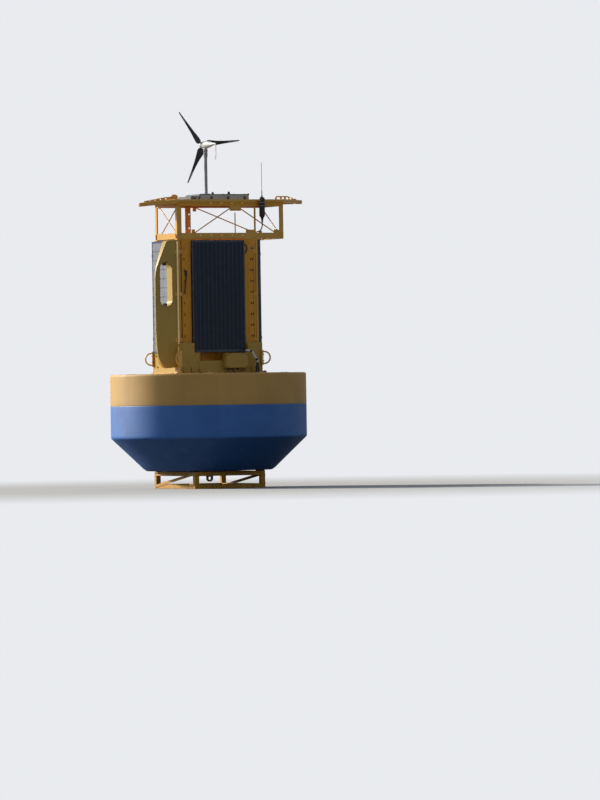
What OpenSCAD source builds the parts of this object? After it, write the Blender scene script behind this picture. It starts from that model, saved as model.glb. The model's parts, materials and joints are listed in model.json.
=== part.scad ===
// Moored surface buoy on its shore stand: foam hull, braced tower, solar panels, wind turbine.
// Millimetres. Origin on the hull's axis at floor level, +Z up, +X towards the longer roof nose.

/* [Hull] */
// Radius of the round foam hull
hull_r = 1390; // [1200:5:1500]
// Radius of the flat bottom, where the cone ends
hull_bottom_r = 900; // [880:5:1000]
// Height of the cone below the blue band
cone_h = 470; // [350:5:600]
// Height of the blue upright band
blue_band_h = 455; // [300:5:600]
// Height of the yellow upright band
yellow_band_h = 445; // [300:5:600]
// Chamfer along the hull's top edge
hull_edge = 22; // [5:1:50]

/* [Stand] */
// Height of the hull's bottom above the floor
stand_h = 250; // [220:5:400]
// Half the distance between the stand's legs along X
stand_x = 507; // [450:1:540]
// Half the distance between the stand's legs along Y
stand_y = 689; // [600:1:700]
// Width of the stand's square tubes
stand_tube = 70; // [50:1:90]
// Height of the stand's upper and lower beams
stand_beam_h = 60; // [40:1:70]
// Thickness of the rubber pads between stand and hull
pad_t = 12; // [6:1:20]
// Thickness of the stand's flat braces
brace_t = 8; // [5:1:15]
// Width of the stand's flat braces
brace_w = 40; // [30:1:50]
// Length of the rubber pads along the bearers
pad_l = 170; // [100:5:250]
// Radius of the mooring plate under the hull
mooring_plate_r = 400; // [250:5:440]
// Radius of the hole in the mooring lug
lug_hole_r = 24; // [15:1:35]
// Thickness of the mooring lug
lug_t = 40; // [25:1:60]
// Drop from the mooring plate's underside to the lug's hole
lug_drop = 100; // [90:1:110]

/* [Base] */
// Half the width of the tower's base along X, to its outer face
base_x = 630; // [622:1:660]
// Half the depth of the tower's base along Y, to its outer face
base_y = 480; // [450:1:560]
// Thickness of the base's plates
plate_t = 10; // [6:1:14]
// Thickness of the flange on the hull
flange_t = 12; // [8:1:20]
// Width of the flange on the hull
flange_w = 110; // [80:1:130]
// Height of the base's low plates above the hull
base_low_h = 295; // [260:1:299]
// Height of the base's corner plates above the hull
base_corner_h = 430; // [340:1:440]
// Height of the skirts between the corners above the hull
skirt_h = 180; // [120:1:240]
// Width of the tall corner plates, and of the low plates around them
corner_w = 220; // [180:5:260]
corner_low_w = 300; // [270:5:340]
// Width of the corner plates on the base's short sides
corner_side_w = 180; // [120:5:240]
// Radius of the rod of a lifting bail
bail_rod_r = 11; // [8:1:16]
// Half the height of a lifting bail, to its rod's centre
bail_r = 84; // [60:1:100]
// Height of the lifting bails above the hull
bail_up = 215; // [180:5:260]
// Width and thickness of the plates behind the lifting bails
bail_plate_w = 70; // [50:1:90]
bail_plate_t = 12; // [8:1:20]
// Junction box: its stern side along X, width, depth, height above the hull, height
box_x = 26; // [-100:1:100]
box_w = 340; // [250:5:360]
box_d = 100; // [60:5:140]
box_up = 70; // [40:5:120]
box_h = 214; // [150:2:230]
// Radius of the white vent pipe
vent_r = 15; // [10:1:20]
// Height of the vent's fitting above the hull
vent_h = 126; // [110:1:160]

/* [Tower] */
// Distance of the pipe legs from the axis along X
leg_x = 580; // [570:1:580]
// Distance of the pipe legs from the axis along Y
leg_y = 360; // [350:1:360]
// Outer radius of the pipe legs
leg_r = 30; // [24:1:32]
// Gap between the panels' tops and the halo's lower beams
panel_head = 16; // [6:1:60]
// Height of the lower clamps above the panels' lower edge
clamp_low = 172; // [140:1:250]
// Height of the middle clamps above the panels' middle
clamp_mid = 29; // [-60:1:60]
// Drop of the upper clamps below the panels' upper edge
clamp_high = 163; // [100:1:250]
// Thickness of the plates under and over the pipe legs
foot_t = 12; // [8:1:20]
// Outer radius of the pipe clamps
clamp_r = 42; // [38:1:42]
// Height of the pipe clamps
clamp_h = 56; // [50:1:80]
// Height of the cross rails between the clamps
rail_h = 50; // [30:1:56]
// Depth of the cross rails
rail_d = 40; // [25:1:42]
// Width of the inner housing along X
housing_w = 900; // [700:5:940]
// Depth of the inner housing along Y
housing_d = 500; // [400:5:560]
// Width and thickness of the perforated strips
strip_w = 65; // [50:1:70]
strip_t = 6; // [4:1:10]
// Distance of the slots along the perforated strips
slot_pitch = 155; // [100:1:200]

/* [Solar panels] */
// Width of a solar panel
panel_w = 808; // [700:1:808]
// Height of a solar panel
panel_h = 1580; // [1400:1:1580]
// Thickness of a solar panel
panel_t = 40; // [30:1:50]
// Width of the panel frame's rim
panel_rim = 22; // [12:1:40]
// Height of the panels' lower edge above the hull
panel_up = 300; // [300:1:360]

/* [Vane] */
// Thickness of the vane's box beside the tower, and at its free edge
vane_t = 200; // [100:1:220]
vane_edge_t = 30; // [20:1:60]
// Thickness of the vane's skin between the box and the leg
skin_t = 5; // [4:1:8]
// Width of the vane's slot
vane_slot_w = 182; // [120:1:190]
// Length of the vane's slot
vane_slot_h = 620; // [400:1:700]
// Reach of the vane from the axis
vane_reach = 963; // [940:1:1000]
// Drop of the vane's top below the halo
vane_top = 12; // [8:1:40]

/* [Halo] */
// Height of the halo's lower beams
low_beam_h = 86; // [70:1:110]
// Clear height between the halo's lower and upper beams
halo_clear = 376; // [300:1:400]
// Height of the halo's upper beams
top_beam_h = 66; // [60:1:110]
// Depth of all halo beams
beam_d = 60; // [50:1:64]
// Wall thickness of the channel beams
beam_wall = 8; // [5:1:12]
// Reach of the halo's bow end from the axis
halo_bow = 1030; // [900:5:1100]
// Reach of the halo's stern end from the axis
halo_stern = 610; // [610:5:640]
// Radius of the halo's brace rods
brace_r = 8; // [5:1:10]
// Distance of the holes along the halo's beams, and how many the lower and the upper one have
hole_pitch = 162; // [120:1:200]
low_holes = 5; // [1:1:5]
top_holes = 4; // [1:1:5]
// Place of the first hole along X
first_hole = -248; // [-300:1:-200]
// Radius of the holes in the halo's beams
hole_r = 14; // [8:1:18]
// Width of the angle posts at the front's stern and bow ends, and at the rear
post_stern_w = 70; // [40:1:90]
post_bow_w = 64; // [40:1:90]
post_rear_w = 40; // [30:1:90]

/* [Roof] */
// Half the width of the roof deck
deck_y = 402; // [400:1:440]
// Thickness of the roof deck
deck_t = 30; // [10:1:40]
// Height of the rims under the noses' edges, and of the lip under the deck's long edges
rim_h = 24; // [20:1:60]
lip_h = 9; // [6:1:16]
// Thickness of the deck's rim
rim_t = 11; // [6:1:20]
// Place of the bow nose's tip along X
bow_tip = 1500; // [1350:5:1600]
// Place of the stern nose's tip along X
stern_tip = 1024; // [900:5:1100]
// Radius of the round nose tips
tip_r = 38; // [30:1:50]
// Height of the perforated fins on the noses
fin_h = 60; // [50:1:90]
// Thickness of the fins
fin_t = 10; // [6:1:14]
// Length of the bow's and the stern's fin
bow_fin_l = 345; // [340:1:380]
stern_fin_l = 510; // [500:1:540]
// Height of the equipment tray on the roof
tray_h = 75; // [50:1:110]
// Half the width of the tray, and its reach towards bow and stern
tray_y = 250; // [200:5:300]
tray_bow = 560; // [540:5:580]
tray_stern = 330; // [250:5:400]
// Drop of the tray's lower part, and how long that is
tray_step = 30; // [10:1:45]
tray_step_l = 130; // [60:5:180]
// Radius of the stubs on the roof
stub_r = 8; // [5:1:12]

/* [Antenna] */
// Place of the antenna along X
antenna_x = 680; // [640:1:760]
// Radius of the antenna's base
antenna_r = 42; // [30:1:50]
// Length of the antenna's base
antenna_h = 246; // [200:2:280]
// Length of the whip above the base
whip_l = 480; // [300:5:600]
// Radius of the antenna's cable
antenna_cable_r = 8; // [5:1:10]

/* [Turbine] */
// Place of the mast along X
mast_x = 15; // [-40:1:60]
// Height of the rotor's axis above the deck
rotor_up = 786; // [700:1:900]
// Radius of the rotor
rotor_r = 585; // [450:5:600]
// Angle of the first blade above +X
blade_angle = 6.5; // [0:0.5:120]
// Distance of the rotor's plane from the mast
rotor_out = 118; // [110:1:150]
// Radius of the mast
mast_r = 22; // [18:1:28]
// Radius and thickness of the mast's foot
mast_foot_r = 62; // [50:1:80]
mast_foot_t = 12; // [8:1:16]
// Wall by which the cup on the mast is wider than it
cup_wall = 6; // [4:1:10]
// Height of the cup
cup_h = 64; // [50:1:90]
// Drop from the rotor's axis to the top of the cup
yaw_drop = 104; // [95:1:130]
// Radius and length of the spigot in the cup
spigot_r = 15; // [10:1:16]
spigot_l = 39; // [30:1:46]
// Radius of the rotor's shaft
shaft_r = 12; // [8:1:16]
// Radius of the hub
hub_r = 46; // [40:1:50]
// Radius of the nacelle
nacelle_r = 50; // [44:1:56]
// Reach of the tail from the mast
tail_reach = 370; // [300:5:420]

/* [Hidden] */
$fn = 96;
// Running clearance of what turns, and the gap between pieces that only seat on each other
seat = 0.3;
pin_gap = 0.3;
z_hull = stand_h;
z_chine = z_hull + cone_h;
z_paint = z_chine + blue_band_h;
z_deck = z_paint + yellow_band_h;
z_base = z_deck + flange_t;
tower_h = panel_up + panel_h + panel_head;
z_low = z_deck + tower_h;
z_low_top = z_low + low_beam_h;
z_top = z_low_top + halo_clear;
z_roof = z_top + top_beam_h;
z_plate = z_roof + deck_t;
z_tray = z_plate + tray_h;
z_rotor = z_plate + rotor_up;
z_yaw = z_rotor - yaw_drop;
z_cup = z_yaw - cup_h;
// Heights of the pipe clamps above the hull: lower, middle, upper
clamp_up = [panel_up + clamp_low, panel_up + panel_h / 2 + clamp_mid, panel_up + panel_h - clamp_high];
// Panel planes: distance from the axis to the panel's back, front and rear, then sides
panel_back_y = leg_y + leg_r;
panel_back_x = leg_x + clamp_r + 1;
z_panel = z_deck + panel_up;
strip_x = leg_x - clamp_r - 3 - strip_w;
beam_y = leg_y;
beam_face = beam_y + beam_d / 2;
beam_in = beam_y - beam_d / 2;
vent_at = [510, -base_y - flange_w / 2 - 50];

// A block from its lowest to its highest corner
module block(low, high) {
    translate(low)
        cube([high[0] - low[0], high[1] - low[1], high[2] - low[2]]);
}

// Copies at the four corners (x, y), mirrored so that each faces outwards
module four_corners() {
    for (sx = [1, -1], sy = [1, -1])
        scale_sign(sx, sy)
            children();
}

// Copies at the front and the rear
module both_sides() {
    for (sy = [1, -1])
        scale_sign(1, sy)
            children();
}

module scale_sign(sx, sy) {
    mirror([sx < 0 ? 1 : 0, 0, 0])
        mirror([0, sy < 0 ? 1 : 0, 0])
            children();
}

// A round rod between two points
module rod(from, to, r) {
    d = to - from;
    l = norm(d);
    translate(from)
        rotate([0, acos(d[2] / l), atan2(d[1], d[0])])
            cylinder(r = r, h = l, $fn = 32);
}

// A tube swept along points, as one closed surface with n sides
module tube(points, r, n = 10) {
    count = len(points);
    rings = [for (i = [0 : count - 1])
        let (ahead = points[min(i + 1, count - 1)],
             behind = points[max(i - 1, 0)],
             t = (ahead - behind) / norm(ahead - behind),
             u = cross(t, [0, 0.6, 0.8]),
             a = u / norm(u),
             b = cross(t, a))
        [for (k = [0 : n - 1]) points[i] + r * (cos(360 * k / n) * a + sin(360 * k / n) * b)]];
    verts = [for (ring = rings, p = ring) p];
    sides = [for (i = [0 : count - 2], k = [0 : n - 1])
        [i * n + k, i * n + (k + 1) % n, (i + 1) * n + (k + 1) % n, (i + 1) * n + k]];
    first = [for (k = [n - 1 : -1 : 0]) k];
    last = [for (k = [0 : n - 1]) (count - 1) * n + k];
    polyhedron(points = verts, faces = concat([first, last], sides), convexity = 4);
}

// Points on a cubic curve from p0 to p3, pulled by p1 and p2
function curve(p0, p1, p2, p3, n) = [for (i = [0 : n])
    let (t = i / n, s = 1 - t)
    s * s * s * p0 + 3 * s * s * t * p1 + 3 * s * t * t * p2 + t * t * t * p3];

// Stand

module stand_sleepers() {
    color("goldenrod")
        both_sides()
            block([-stand_x - stand_tube / 2, stand_y - stand_tube / 2, 0],
                [stand_x + stand_tube / 2, stand_y + stand_tube / 2, stand_beam_h]);
}

module stand_crossers() {
    reach = stand_y - stand_tube / 2;
    color("goldenrod")
        for (x = [-stand_x, 0, stand_x])
            block([x - stand_tube / 2, -reach, 0], [x + stand_tube / 2, reach, stand_beam_h]);
}

module stand_legs() {
    color("goldenrod")
        four_corners()
            block([stand_x - stand_tube / 2, stand_y - stand_tube / 2, stand_beam_h],
                [stand_x + stand_tube / 2, stand_y + stand_tube / 2, z_hull - pad_t - stand_beam_h]);
}

module stand_bearers() {
    top = z_hull - pad_t;
    reach = stand_y + stand_tube / 2;
    color("goldenrod")
        for (x = [-stand_x, stand_x])
            block([x - stand_tube / 2, -reach, top - stand_beam_h], [x + stand_tube / 2, reach, top]);
}

module stand_ties() {
    top = z_hull - pad_t;
    reach = stand_x - stand_tube / 2;
    color("goldenrod")
        both_sides()
            block([-reach, stand_y - stand_tube / 2, top - stand_beam_h],
                [reach, stand_y + stand_tube / 2, top]);
}

module stand_braces() {
    side = stand_x + stand_tube / 2;
    low = stand_beam_h / 2;
    high = z_hull - pad_t - stand_beam_h / 2;
    drop = high - low;
    run = 2 * stand_y;
    color("goldenrod")
        for (sx = [1, -1])
            scale_sign(sx, 1)
                translate([side, stand_y, low])
                    rotate([-atan2(drop, run), 0, 0])
                        translate([0, -norm([run, drop]), -brace_w / 2])
                            cube([brace_t, norm([run, drop]), brace_w]);
}

module stand_pads() {
    color("dimgray")
        four_corners()
            block([stand_x - stand_tube / 2, stand_y + 20 - pad_l, z_hull - pad_t],
                [stand_x + stand_tube / 2, stand_y + 20, z_hull]);
}

// Hull

module mooring_plate() {
    color("silver")
        translate([0, 0, z_hull - pad_t])
            cylinder(r = mooring_plate_r, h = pad_t);
}

module mooring_lug() {
    top = z_hull - pad_t;
    eye = top - lug_drop;
    lug_r = 2 * lug_hole_r;
    color("silver")
        difference() {
            union() {
                translate([0, lug_t / 2, eye])
                    rotate([90, 0, 0])
                        cylinder(r = lug_r, h = lug_t);
                block([-lug_r, -lug_t / 2, eye], [lug_r, lug_t / 2, top]);
                block([-130, -lug_t / 2, top - 16], [130, lug_t / 2, top]);
            }
            translate([0, lug_t, eye])
                rotate([90, 0, 0])
                    cylinder(r = lug_hole_r, h = 2 * lug_t);
        }
}

module hull_lower() {
    color("royalblue")
        rotate_extrude()
            polygon([[0, z_hull], [hull_bottom_r, z_hull], [hull_r - 4, z_chine - 4], [hull_r, z_chine + 4],
                [hull_r, z_paint], [0, z_paint]]);
}

module hull_upper() {
    color("goldenrod")
        rotate_extrude()
            polygon([[0, z_paint], [hull_r, z_paint], [hull_r, z_deck - hull_edge],
                [hull_r - 0.3 * hull_edge, z_deck - 0.3 * hull_edge], [hull_r - hull_edge, z_deck],
                [0, z_deck]]);
}

// Base of the tower

module base_flange() {
    color("goldenrod") {
        both_sides()
            block([-base_x - 22, base_y - flange_w / 2, z_deck], [base_x + 22, base_y + flange_w / 2, z_base]);
        for (sx = [1, -1])
            scale_sign(sx, 1)
                block([base_x + 22 - flange_w, -base_y + flange_w / 2 + seat, z_deck],
                    [base_x + 22, base_y - flange_w / 2 - seat, z_base]);
    }
}

// One corner: two wings at right angles, lower beside the panels
module corner_plate() {
    tall = z_deck + base_corner_h;
    low = z_deck + base_low_h;
    union() {
        block([base_x - corner_w, base_y - plate_t, z_base], [base_x, base_y, tall]);
        block([base_x - corner_low_w, base_y - plate_t, z_base], [base_x, base_y, low]);
        block([base_x - plate_t, panel_w / 2 + 6, z_base], [base_x, base_y, tall]);
        block([base_x - plate_t, base_y - corner_side_w, z_base], [base_x, base_y, low]);
    }
}

module base_corner_plates() {
    color("goldenrod")
        four_corners()
            corner_plate();
}

// Plates between the corners, each with a lip inwards along its top
module base_skirts() {
    x = base_x - corner_low_w - seat;
    y = base_y - corner_side_w - seat;
    top = z_deck + skirt_h;
    color("goldenrod") {
        both_sides() {
            block([-x, base_y - plate_t, z_base], [x, base_y, top]);
            block([-x, base_y - 4 * plate_t, top - plate_t], [x, base_y, top]);
        }
        for (sx = [1, -1])
            scale_sign(sx, 1) {
                block([base_x - plate_t, -y, z_base], [base_x, y, top]);
                block([base_x - 4 * plate_t, -y, top - plate_t], [base_x, y, top]);
            }
    }
}

// A D-shaped bail on its back plate, standing out along the corner's diagonal
module bail() {
    back = norm([base_x, base_y]) + seat;
    start = back + bail_plate_t;
    middle = z_deck + bail_up;
    leg = 20;
    reach = bail_r + 26;
    rotate([0, 0, atan2(base_y, base_x)])
        union() {
            block([back, -bail_plate_w / 2, middle - reach], [start, bail_plate_w / 2, middle + reach]);
            for (s = [1, -1])
                translate([start - 2, 0, middle + s * bail_r])
                    rotate([0, 90, 0])
                        cylinder(r = bail_rod_r, h = leg + 2, $fn = 32);
            translate([start + leg, 0, middle])
                rotate([90, 0, 0])
                    rotate([0, 0, -90])
                        rotate_extrude(angle = 180)
                            translate([bail_r, 0])
                                circle(r = bail_rod_r, $fn = 32);
        }
}

module lifting_bails() {
    color("gold")
        four_corners()
            bail();
}

module junction_box() {
    color("darkgoldenrod")
        block([box_x, -base_y - box_d, z_deck + box_up], [box_x + box_w, -base_y, z_deck + box_up + box_h]);
}

module vent_fitting() {
    color("dimgray")
        translate([vent_at[0], vent_at[1], z_deck])
            union() {
                cylinder(r = 3 * vent_r, h = flange_t);
                cylinder(r = vent_r + 11, h = vent_h - 46);
                translate([0, 0, vent_h - 66])
                    cylinder(r = vent_r + 21, h = 24, $fn = 6);
                translate([0, 0, vent_h - 42])
                    cylinder(r = vent_r + 7, h = 42);
            }
}

module vent_pipe() {
    a = [box_x + box_w - 21, -base_y - 60, z_deck + box_up + box_h];
    b = [vent_at[0], vent_at[1], z_deck + vent_h];
    route = concat([a, a + [0, 0, 4]],
        curve(a + [0, 0, 8], a + [0, 0, 26], a + [10, 0, 36], a + [45, -4, 32], 6),
        curve(a + [60, -6, 31], a + [130, -20, 26], b + [0, 0, 120], b + [0, 0, 12], 10), [b]);
    color("white")
        tube(route, vent_r);
}

// Tower

module leg_feet() {
    color("goldenrod")
        four_corners()
            block([leg_x - 50, leg_y - 65, z_base], [leg_x + 38, leg_y + 65, z_base + foot_t]);
}

module tower_legs() {
    color("goldenrod")
        four_corners()
            translate([leg_x, leg_y, z_base + foot_t])
                cylinder(r = leg_r, h = z_low - foot_t - z_base - foot_t, $fn = 48);
}

module leg_caps() {
    color("goldenrod")
        four_corners()
            block([leg_x - 38, leg_y - 30, z_low - foot_t], [leg_x + 38, leg_y + 30, z_low]);
}

module clamp_ring() {
    difference() {
        translate([0, 0, -clamp_h / 2])
            cylinder(r = clamp_r, h = clamp_h, $fn = 48);
        translate([0, 0, -clamp_h])
            cylinder(r = leg_r + seat / 2, h = 2 * clamp_h, $fn = 48);
    }
}

// Clamps on every leg but the one that carries the vane
module pipe_clamps() {
    color("goldenrod")
        for (corner = [[1, 1], [1, -1], [-1, 1]], up = clamp_up)
            translate([corner[0] * leg_x, corner[1] * leg_y, z_deck + up])
                clamp_ring();
}

// Clamps on the leg at the vane, each with a tab over the vane's skin
module vane_clamps() {
    face = vane_face - leg_y;
    tab_w = 40;
    tab_t = 6;
    color("goldenrod")
        for (up = clamp_up)
            translate([-leg_x, -leg_y, z_deck + up])
                union() {
                    clamp_ring();
                    block([-tab_w / 2, -face - tab_t, -clamp_h / 2], [tab_w / 2, -leg_r - 4, clamp_h / 2]);
                    block([-skin_reach, -face - tab_t, -clamp_h / 2], [tab_w / 2, -face, clamp_h / 2]);
                }
}

module cross_rails() {
    reach_x = leg_x - clamp_r - seat;
    reach_y = leg_y - clamp_r - seat;
    color("goldenrod")
        for (up = [clamp_up[0], clamp_up[2]]) {
            both_sides()
                block([-reach_x, panel_back_y - rail_d, z_deck + up - rail_h / 2],
                    [reach_x, panel_back_y, z_deck + up + rail_h / 2]);
            for (sx = [1, -1])
                scale_sign(sx, 1)
                    block([panel_back_x - rail_d, -reach_y, z_deck + up - rail_h / 2],
                        [panel_back_x, reach_y, z_deck + up + rail_h / 2]);
        }
}

module perforated_strips() {
    low = z_panel + 30;
    high = z_low - 30;
    slots = floor((high - low - 60) / slot_pitch);
    color("goldenrod")
        four_corners()
            difference() {
                block([strip_x, panel_back_y, low], [strip_x + strip_w, panel_back_y + strip_t, high]);
                for (i = [0 : slots])
                    translate([strip_x + strip_w - 22, panel_back_y - 1, low + 40 + i * slot_pitch])
                        for (dz = [-12, 12])
                            translate([0, 0, dz])
                                rotate([-90, 0, 0])
                                    cylinder(r = 7, h = strip_t + 2, $fn = 24);
                for (i = [0 : slots])
                    translate([strip_x + strip_w - 29, panel_back_y - 1, low + 28 + i * slot_pitch])
                        cube([14, strip_t + 2, 24]);
            }
}

module inner_housing() {
    color("orange")
        block([-housing_w / 2, -housing_d / 2, z_deck], [housing_w / 2, housing_d / 2, z_low - 66]);
}

module housing_latch() {
    x = -housing_w / 2 + 42;
    y = -housing_d / 2;
    low = z_deck + vane_slot_up - 40;
    color("black")
        union() {
            block([x - 14, y - 10, low], [x + 14, y, low + 180]);
            block([x - 8, y - 34, low + 20], [x + 8, y - 8, low + 50]);
            block([x - 8, y - 34, low + 20], [x + 8, y - 22, low + 160]);
        }
}

// Vane

vane_face = max(panel_w / 2, leg_y + clamp_r + 2) + 1 + skin_t;
vane_box_x = panel_back_x + panel_t + 27;
vane_edge_x = base_x + 2;
// Reach of the clamps' tabs over the skin
skin_reach = 90;
// Outline of the vane's free side: inboard from its reach, and below its top or above the hull
vane_upper = [[202, 13], [171, 31], [26, 379], [7, 458], [0, 544]];
vane_lower = [[0, 795], [5, 560], [14, 391], [23, 290], [40, 216], [65, 165], [98, 121], [138, 92],
    [185, 80]];
vane_outline = concat([[vane_edge_x, tower_h - vane_top]],
    [for (p = vane_upper) [vane_reach - p[0], tower_h - vane_top - p[1]]],
    [for (p = vane_lower) [vane_reach - p[0], p[1]]],
    [[vane_edge_x, 95]]);
vane_slot_x = vane_reach - 166;
vane_slot_up = tower_h - 636;

module vane_profile() {
    difference() {
        polygon(vane_outline);
        for (s = [1, -1])
            translate([vane_slot_x, vane_slot_up + s * (vane_slot_h - vane_slot_w) / 2])
                circle(r = vane_slot_w / 2, $fn = 64);
        translate([vane_slot_x - vane_slot_w / 2, vane_slot_up - (vane_slot_h - vane_slot_w) / 2])
            square([vane_slot_w, vane_slot_h - vane_slot_w]);
    }
}

module vane_cut(low_x, high_x, t) {
    translate([0, -vane_face, z_deck])
        rotate([90, 0, 180])
            linear_extrude(t)
                intersection() {
                    vane_profile();
                    translate([low_x, 0])
                        square([high_x - low_x, 2500]);
                }
}

// The box thins towards its free edge, as a wedge seen from above
module vane_box() {
    intersection() {
        vane_cut(vane_box_x, vane_reach + 1, vane_t);
        translate([0, 0, z_deck])
            linear_extrude(tower_h)
                polygon([[-vane_box_x, -vane_face - 1], [-vane_box_x, -vane_face + vane_t],
                    [-vane_reach, -vane_face + vane_edge_t], [-vane_reach - 1, -vane_face - 1]]);
    }
}

module vane() {
    color("goldenrod")
        union() {
            vane_cut(vane_edge_x, vane_box_x + 1, skin_t);
            vane_box();
        }
}

// Solar panels

// Places one piece on each face: front, rear, right and left
module on_four_faces() {
    // turn about Z, distance of the panel's back
    for (face = [[0, panel_back_y], [180, panel_back_y], [90, panel_back_x], [270, panel_back_x]])
        rotate([0, 0, face[0]])
            translate([0, -face[1], 0])
                children();
}

module panel_frames() {
    color("slategray")
        on_four_faces()
            difference() {
                block([-panel_w / 2, -panel_t, z_panel], [panel_w / 2, 0, z_panel + panel_h]);
                block([-panel_w / 2 + panel_rim, -panel_t - 1, z_panel + panel_rim],
                    [panel_w / 2 - panel_rim, 1, z_panel + panel_h - panel_rim]);
            }
}

module panel_laminates() {
    inset = panel_rim + seat;
    color([0.08, 0.1, 0.16])
        on_four_faces()
            block([-panel_w / 2 + inset, -panel_t + 3, z_panel + inset],
                [panel_w / 2 - inset, 0, z_panel + panel_h - inset]);
}

module panel_cable() {
    from = [panel_w / 2 + 0.5, -panel_back_y - 14, z_panel + panel_h - 60];
    to = [panel_w / 2 + 0.5, -panel_back_y - 14, z_panel + panel_h - 190];
    color("black")
        tube(concat([from], curve(from + [8, 0, 0], from + [70, 0, 0], to + [60, 0, 10], to + [8, 0, 0], 12), [to]),
            7, 8);
}

// Halo

// A channel beam along X: web outwards, flanges inwards, with a row of holes
module channel_x(x0, x1, z0, h, first = 0, holes = 0, hole_z = 0) {
    difference() {
        block([x0, beam_in, z0], [x1, beam_face, z0 + h]);
        block([x0 - 1, beam_in - 1, z0 + beam_wall], [x1 + 1, beam_face - beam_wall, z0 + h - beam_wall]);
        for (i = [0 : 1 : holes - 1])
            translate([first + i * hole_pitch, beam_face - beam_wall - 1, z0 + hole_z])
                rotate([-90, 0, 0])
                    cylinder(r = hole_r, h = beam_wall + 2, $fn = 32);
    }
}

// A channel beam along Y between the long beams: web on the side away from the tower
module channel_y(x0, w, z0, h, web_low) {
    web = web_low ? x0 : x0 + w - beam_wall;
    union() {
        block([web, -beam_in, z0], [web + beam_wall, beam_in, z0 + h]);
        block([x0, -beam_in, z0], [x0 + w, beam_in, z0 + beam_wall]);
        block([x0, -beam_in, z0 + h - beam_wall], [x0 + w, beam_in, z0 + h]);
    }
}

module halo_lower_beams() {
    color("goldenrod") {
        channel_x(-halo_stern, halo_bow, z_low, low_beam_h);
        scale_sign(1, -1)
            channel_x(-halo_stern, halo_bow, z_low, low_beam_h, first_hole, low_holes, low_beam_h / 2 + 6);
    }
}

module halo_lower_crossbeams() {
    color("goldenrod") {
        channel_y(-halo_stern, beam_d, z_low, low_beam_h, true);
        channel_y(leg_x - beam_d / 2, beam_d, z_low, low_beam_h, false);
        channel_y(halo_bow - beam_d, beam_d, z_low, low_beam_h, false);
    }
}

module halo_upper_beams() {
    color("goldenrod") {
        channel_x(-halo_stern, halo_bow, z_top, top_beam_h);
        scale_sign(1, -1)
            channel_x(-halo_stern, halo_bow, z_top, top_beam_h, first_hole + hole_pitch, top_holes,
                top_beam_h / 2 + 7);
    }
}

module halo_upper_crossbeams() {
    color("goldenrod") {
        channel_y(-halo_stern, beam_d, z_top, top_beam_h, true);
        channel_y(leg_x - beam_d / 2, beam_d, z_top, top_beam_h, false);
        channel_y(halo_bow - beam_d, beam_d, z_top, top_beam_h, false);
    }
}

// An angle post: its corner is at the outer face of beam and end
module angle_post(x, w, towards) {
    far = x + towards * w;
    union() {
        block([min(x, far), beam_face - beam_wall, z_low_top], [max(x, far), beam_face, z_top]);
        block([min(x, x + towards * beam_wall), beam_in, z_low_top],
            [max(x, x + towards * beam_wall), beam_face, z_top]);
    }
}

module halo_posts() {
    color("goldenrod") {
        scale_sign(1, -1) {
            angle_post(-halo_stern, post_stern_w, 1);
            angle_post(halo_bow, post_bow_w, -1);
            block([leg_x - 3, beam_face - beam_wall, z_low_top], [leg_x + 23, beam_face, z_top]);
        }
        angle_post(-halo_stern, post_rear_w, 1);
        difference() {
            block([-150, beam_face - beam_wall, z_low_top], [-65, beam_face, z_top]);
            for (z = [z_low_top + 90, z_top - 90])
                translate([-90, beam_face - beam_wall - 1, z])
                    rotate([-90, 0, 0])
                        cylinder(r = hole_r - 3, h = beam_wall + 2, $fn = 32);
        }
    }
}

// Brace rods between the beams, cut flush with their faces
module brace(from, to) {
    intersection() {
        rod(from, to, brace_r);
        block([-halo_stern, -beam_face, z_low_top + seat], [halo_bow, beam_face, z_top - seat]);
    }
}

module halo_braces() {
    z0 = z_low_top - 10;
    z1 = z_top + 10;
    end_x = halo_stern - beam_d / 2;
    bow_x = halo_bow - beam_d / 2;
    side_y = beam_in - 24;
    color("goldenrod") {
        brace([-345, -beam_y, z0], [282, -beam_y, z1]);
        brace([930, -beam_y, z0], [312, -beam_y, z1]);
        brace([297, -beam_y, z0], [297, -beam_y, z_top - 90]);
        brace([-18, beam_y, z1], [1000, beam_y, z0]);
        brace([-end_x, -side_y, z0], [-end_x, side_y, z1]);
        brace([-end_x + 3 * brace_r, side_y, z0], [-end_x + 3 * brace_r, -side_y, z1]);
        brace([bow_x, -side_y, z0], [bow_x, side_y, z1]);
    }
}

module halo_gussets() {
    post = leg_x - 3;
    bow = halo_bow - post_bow_w;
    color("goldenrod")
        // from and to along X, bottom, top
        for (g = [[207, 377, z_top - 66, z_top], [post - 127, post - seat, z_low_top, z_low_top + 44],
            [bow - 86, bow - seat, z_low_top, z_low_top + 40]])
            block([g[0], -beam_face, g[2]], [g[1], -beam_face + beam_wall, g[3]]);
}

// Roof

// Outline of the deck at its rims' outer faces
deck_outline = [[-stern_tip, 0], [-halo_stern, deck_y], [halo_bow, deck_y], [bow_tip, 0],
    [halo_bow, -deck_y], [-halo_stern, -deck_y]];

module roof_deck() {
    color("goldenrod")
        difference() {
            translate([0, 0, z_roof])
                linear_extrude(deck_t)
                    polygon(deck_outline);
            for (x = [-stern_tip, bow_tip - 2 * tip_r])
                block([x - 1, -deck_y, z_roof - 1], [x + 2 * tip_r, deck_y, z_plate + 1]);
        }
}

// Straight rims along the deck's long sides, and slanted ones along the noses
module nose_rim(tip, root) {
    d = [root - tip, -deck_y];
    l = norm(d);
    turn = atan2(d[1], d[0]);
    side = root > tip ? 1 : -1;
    intersection() {
        translate([tip, 0, z_roof - rim_h])
            rotate([0, 0, turn])
                translate([3.2 * tip_r, side > 0 ? 0 : -3 * rim_t, 0])
                    cube([l, 3 * rim_t, rim_h]);
        block([min(tip, root - side * seat), -deck_y, z_roof - rim_h],
            [max(tip, root - side * seat), deck_y, z_roof]);
    }
}

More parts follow.
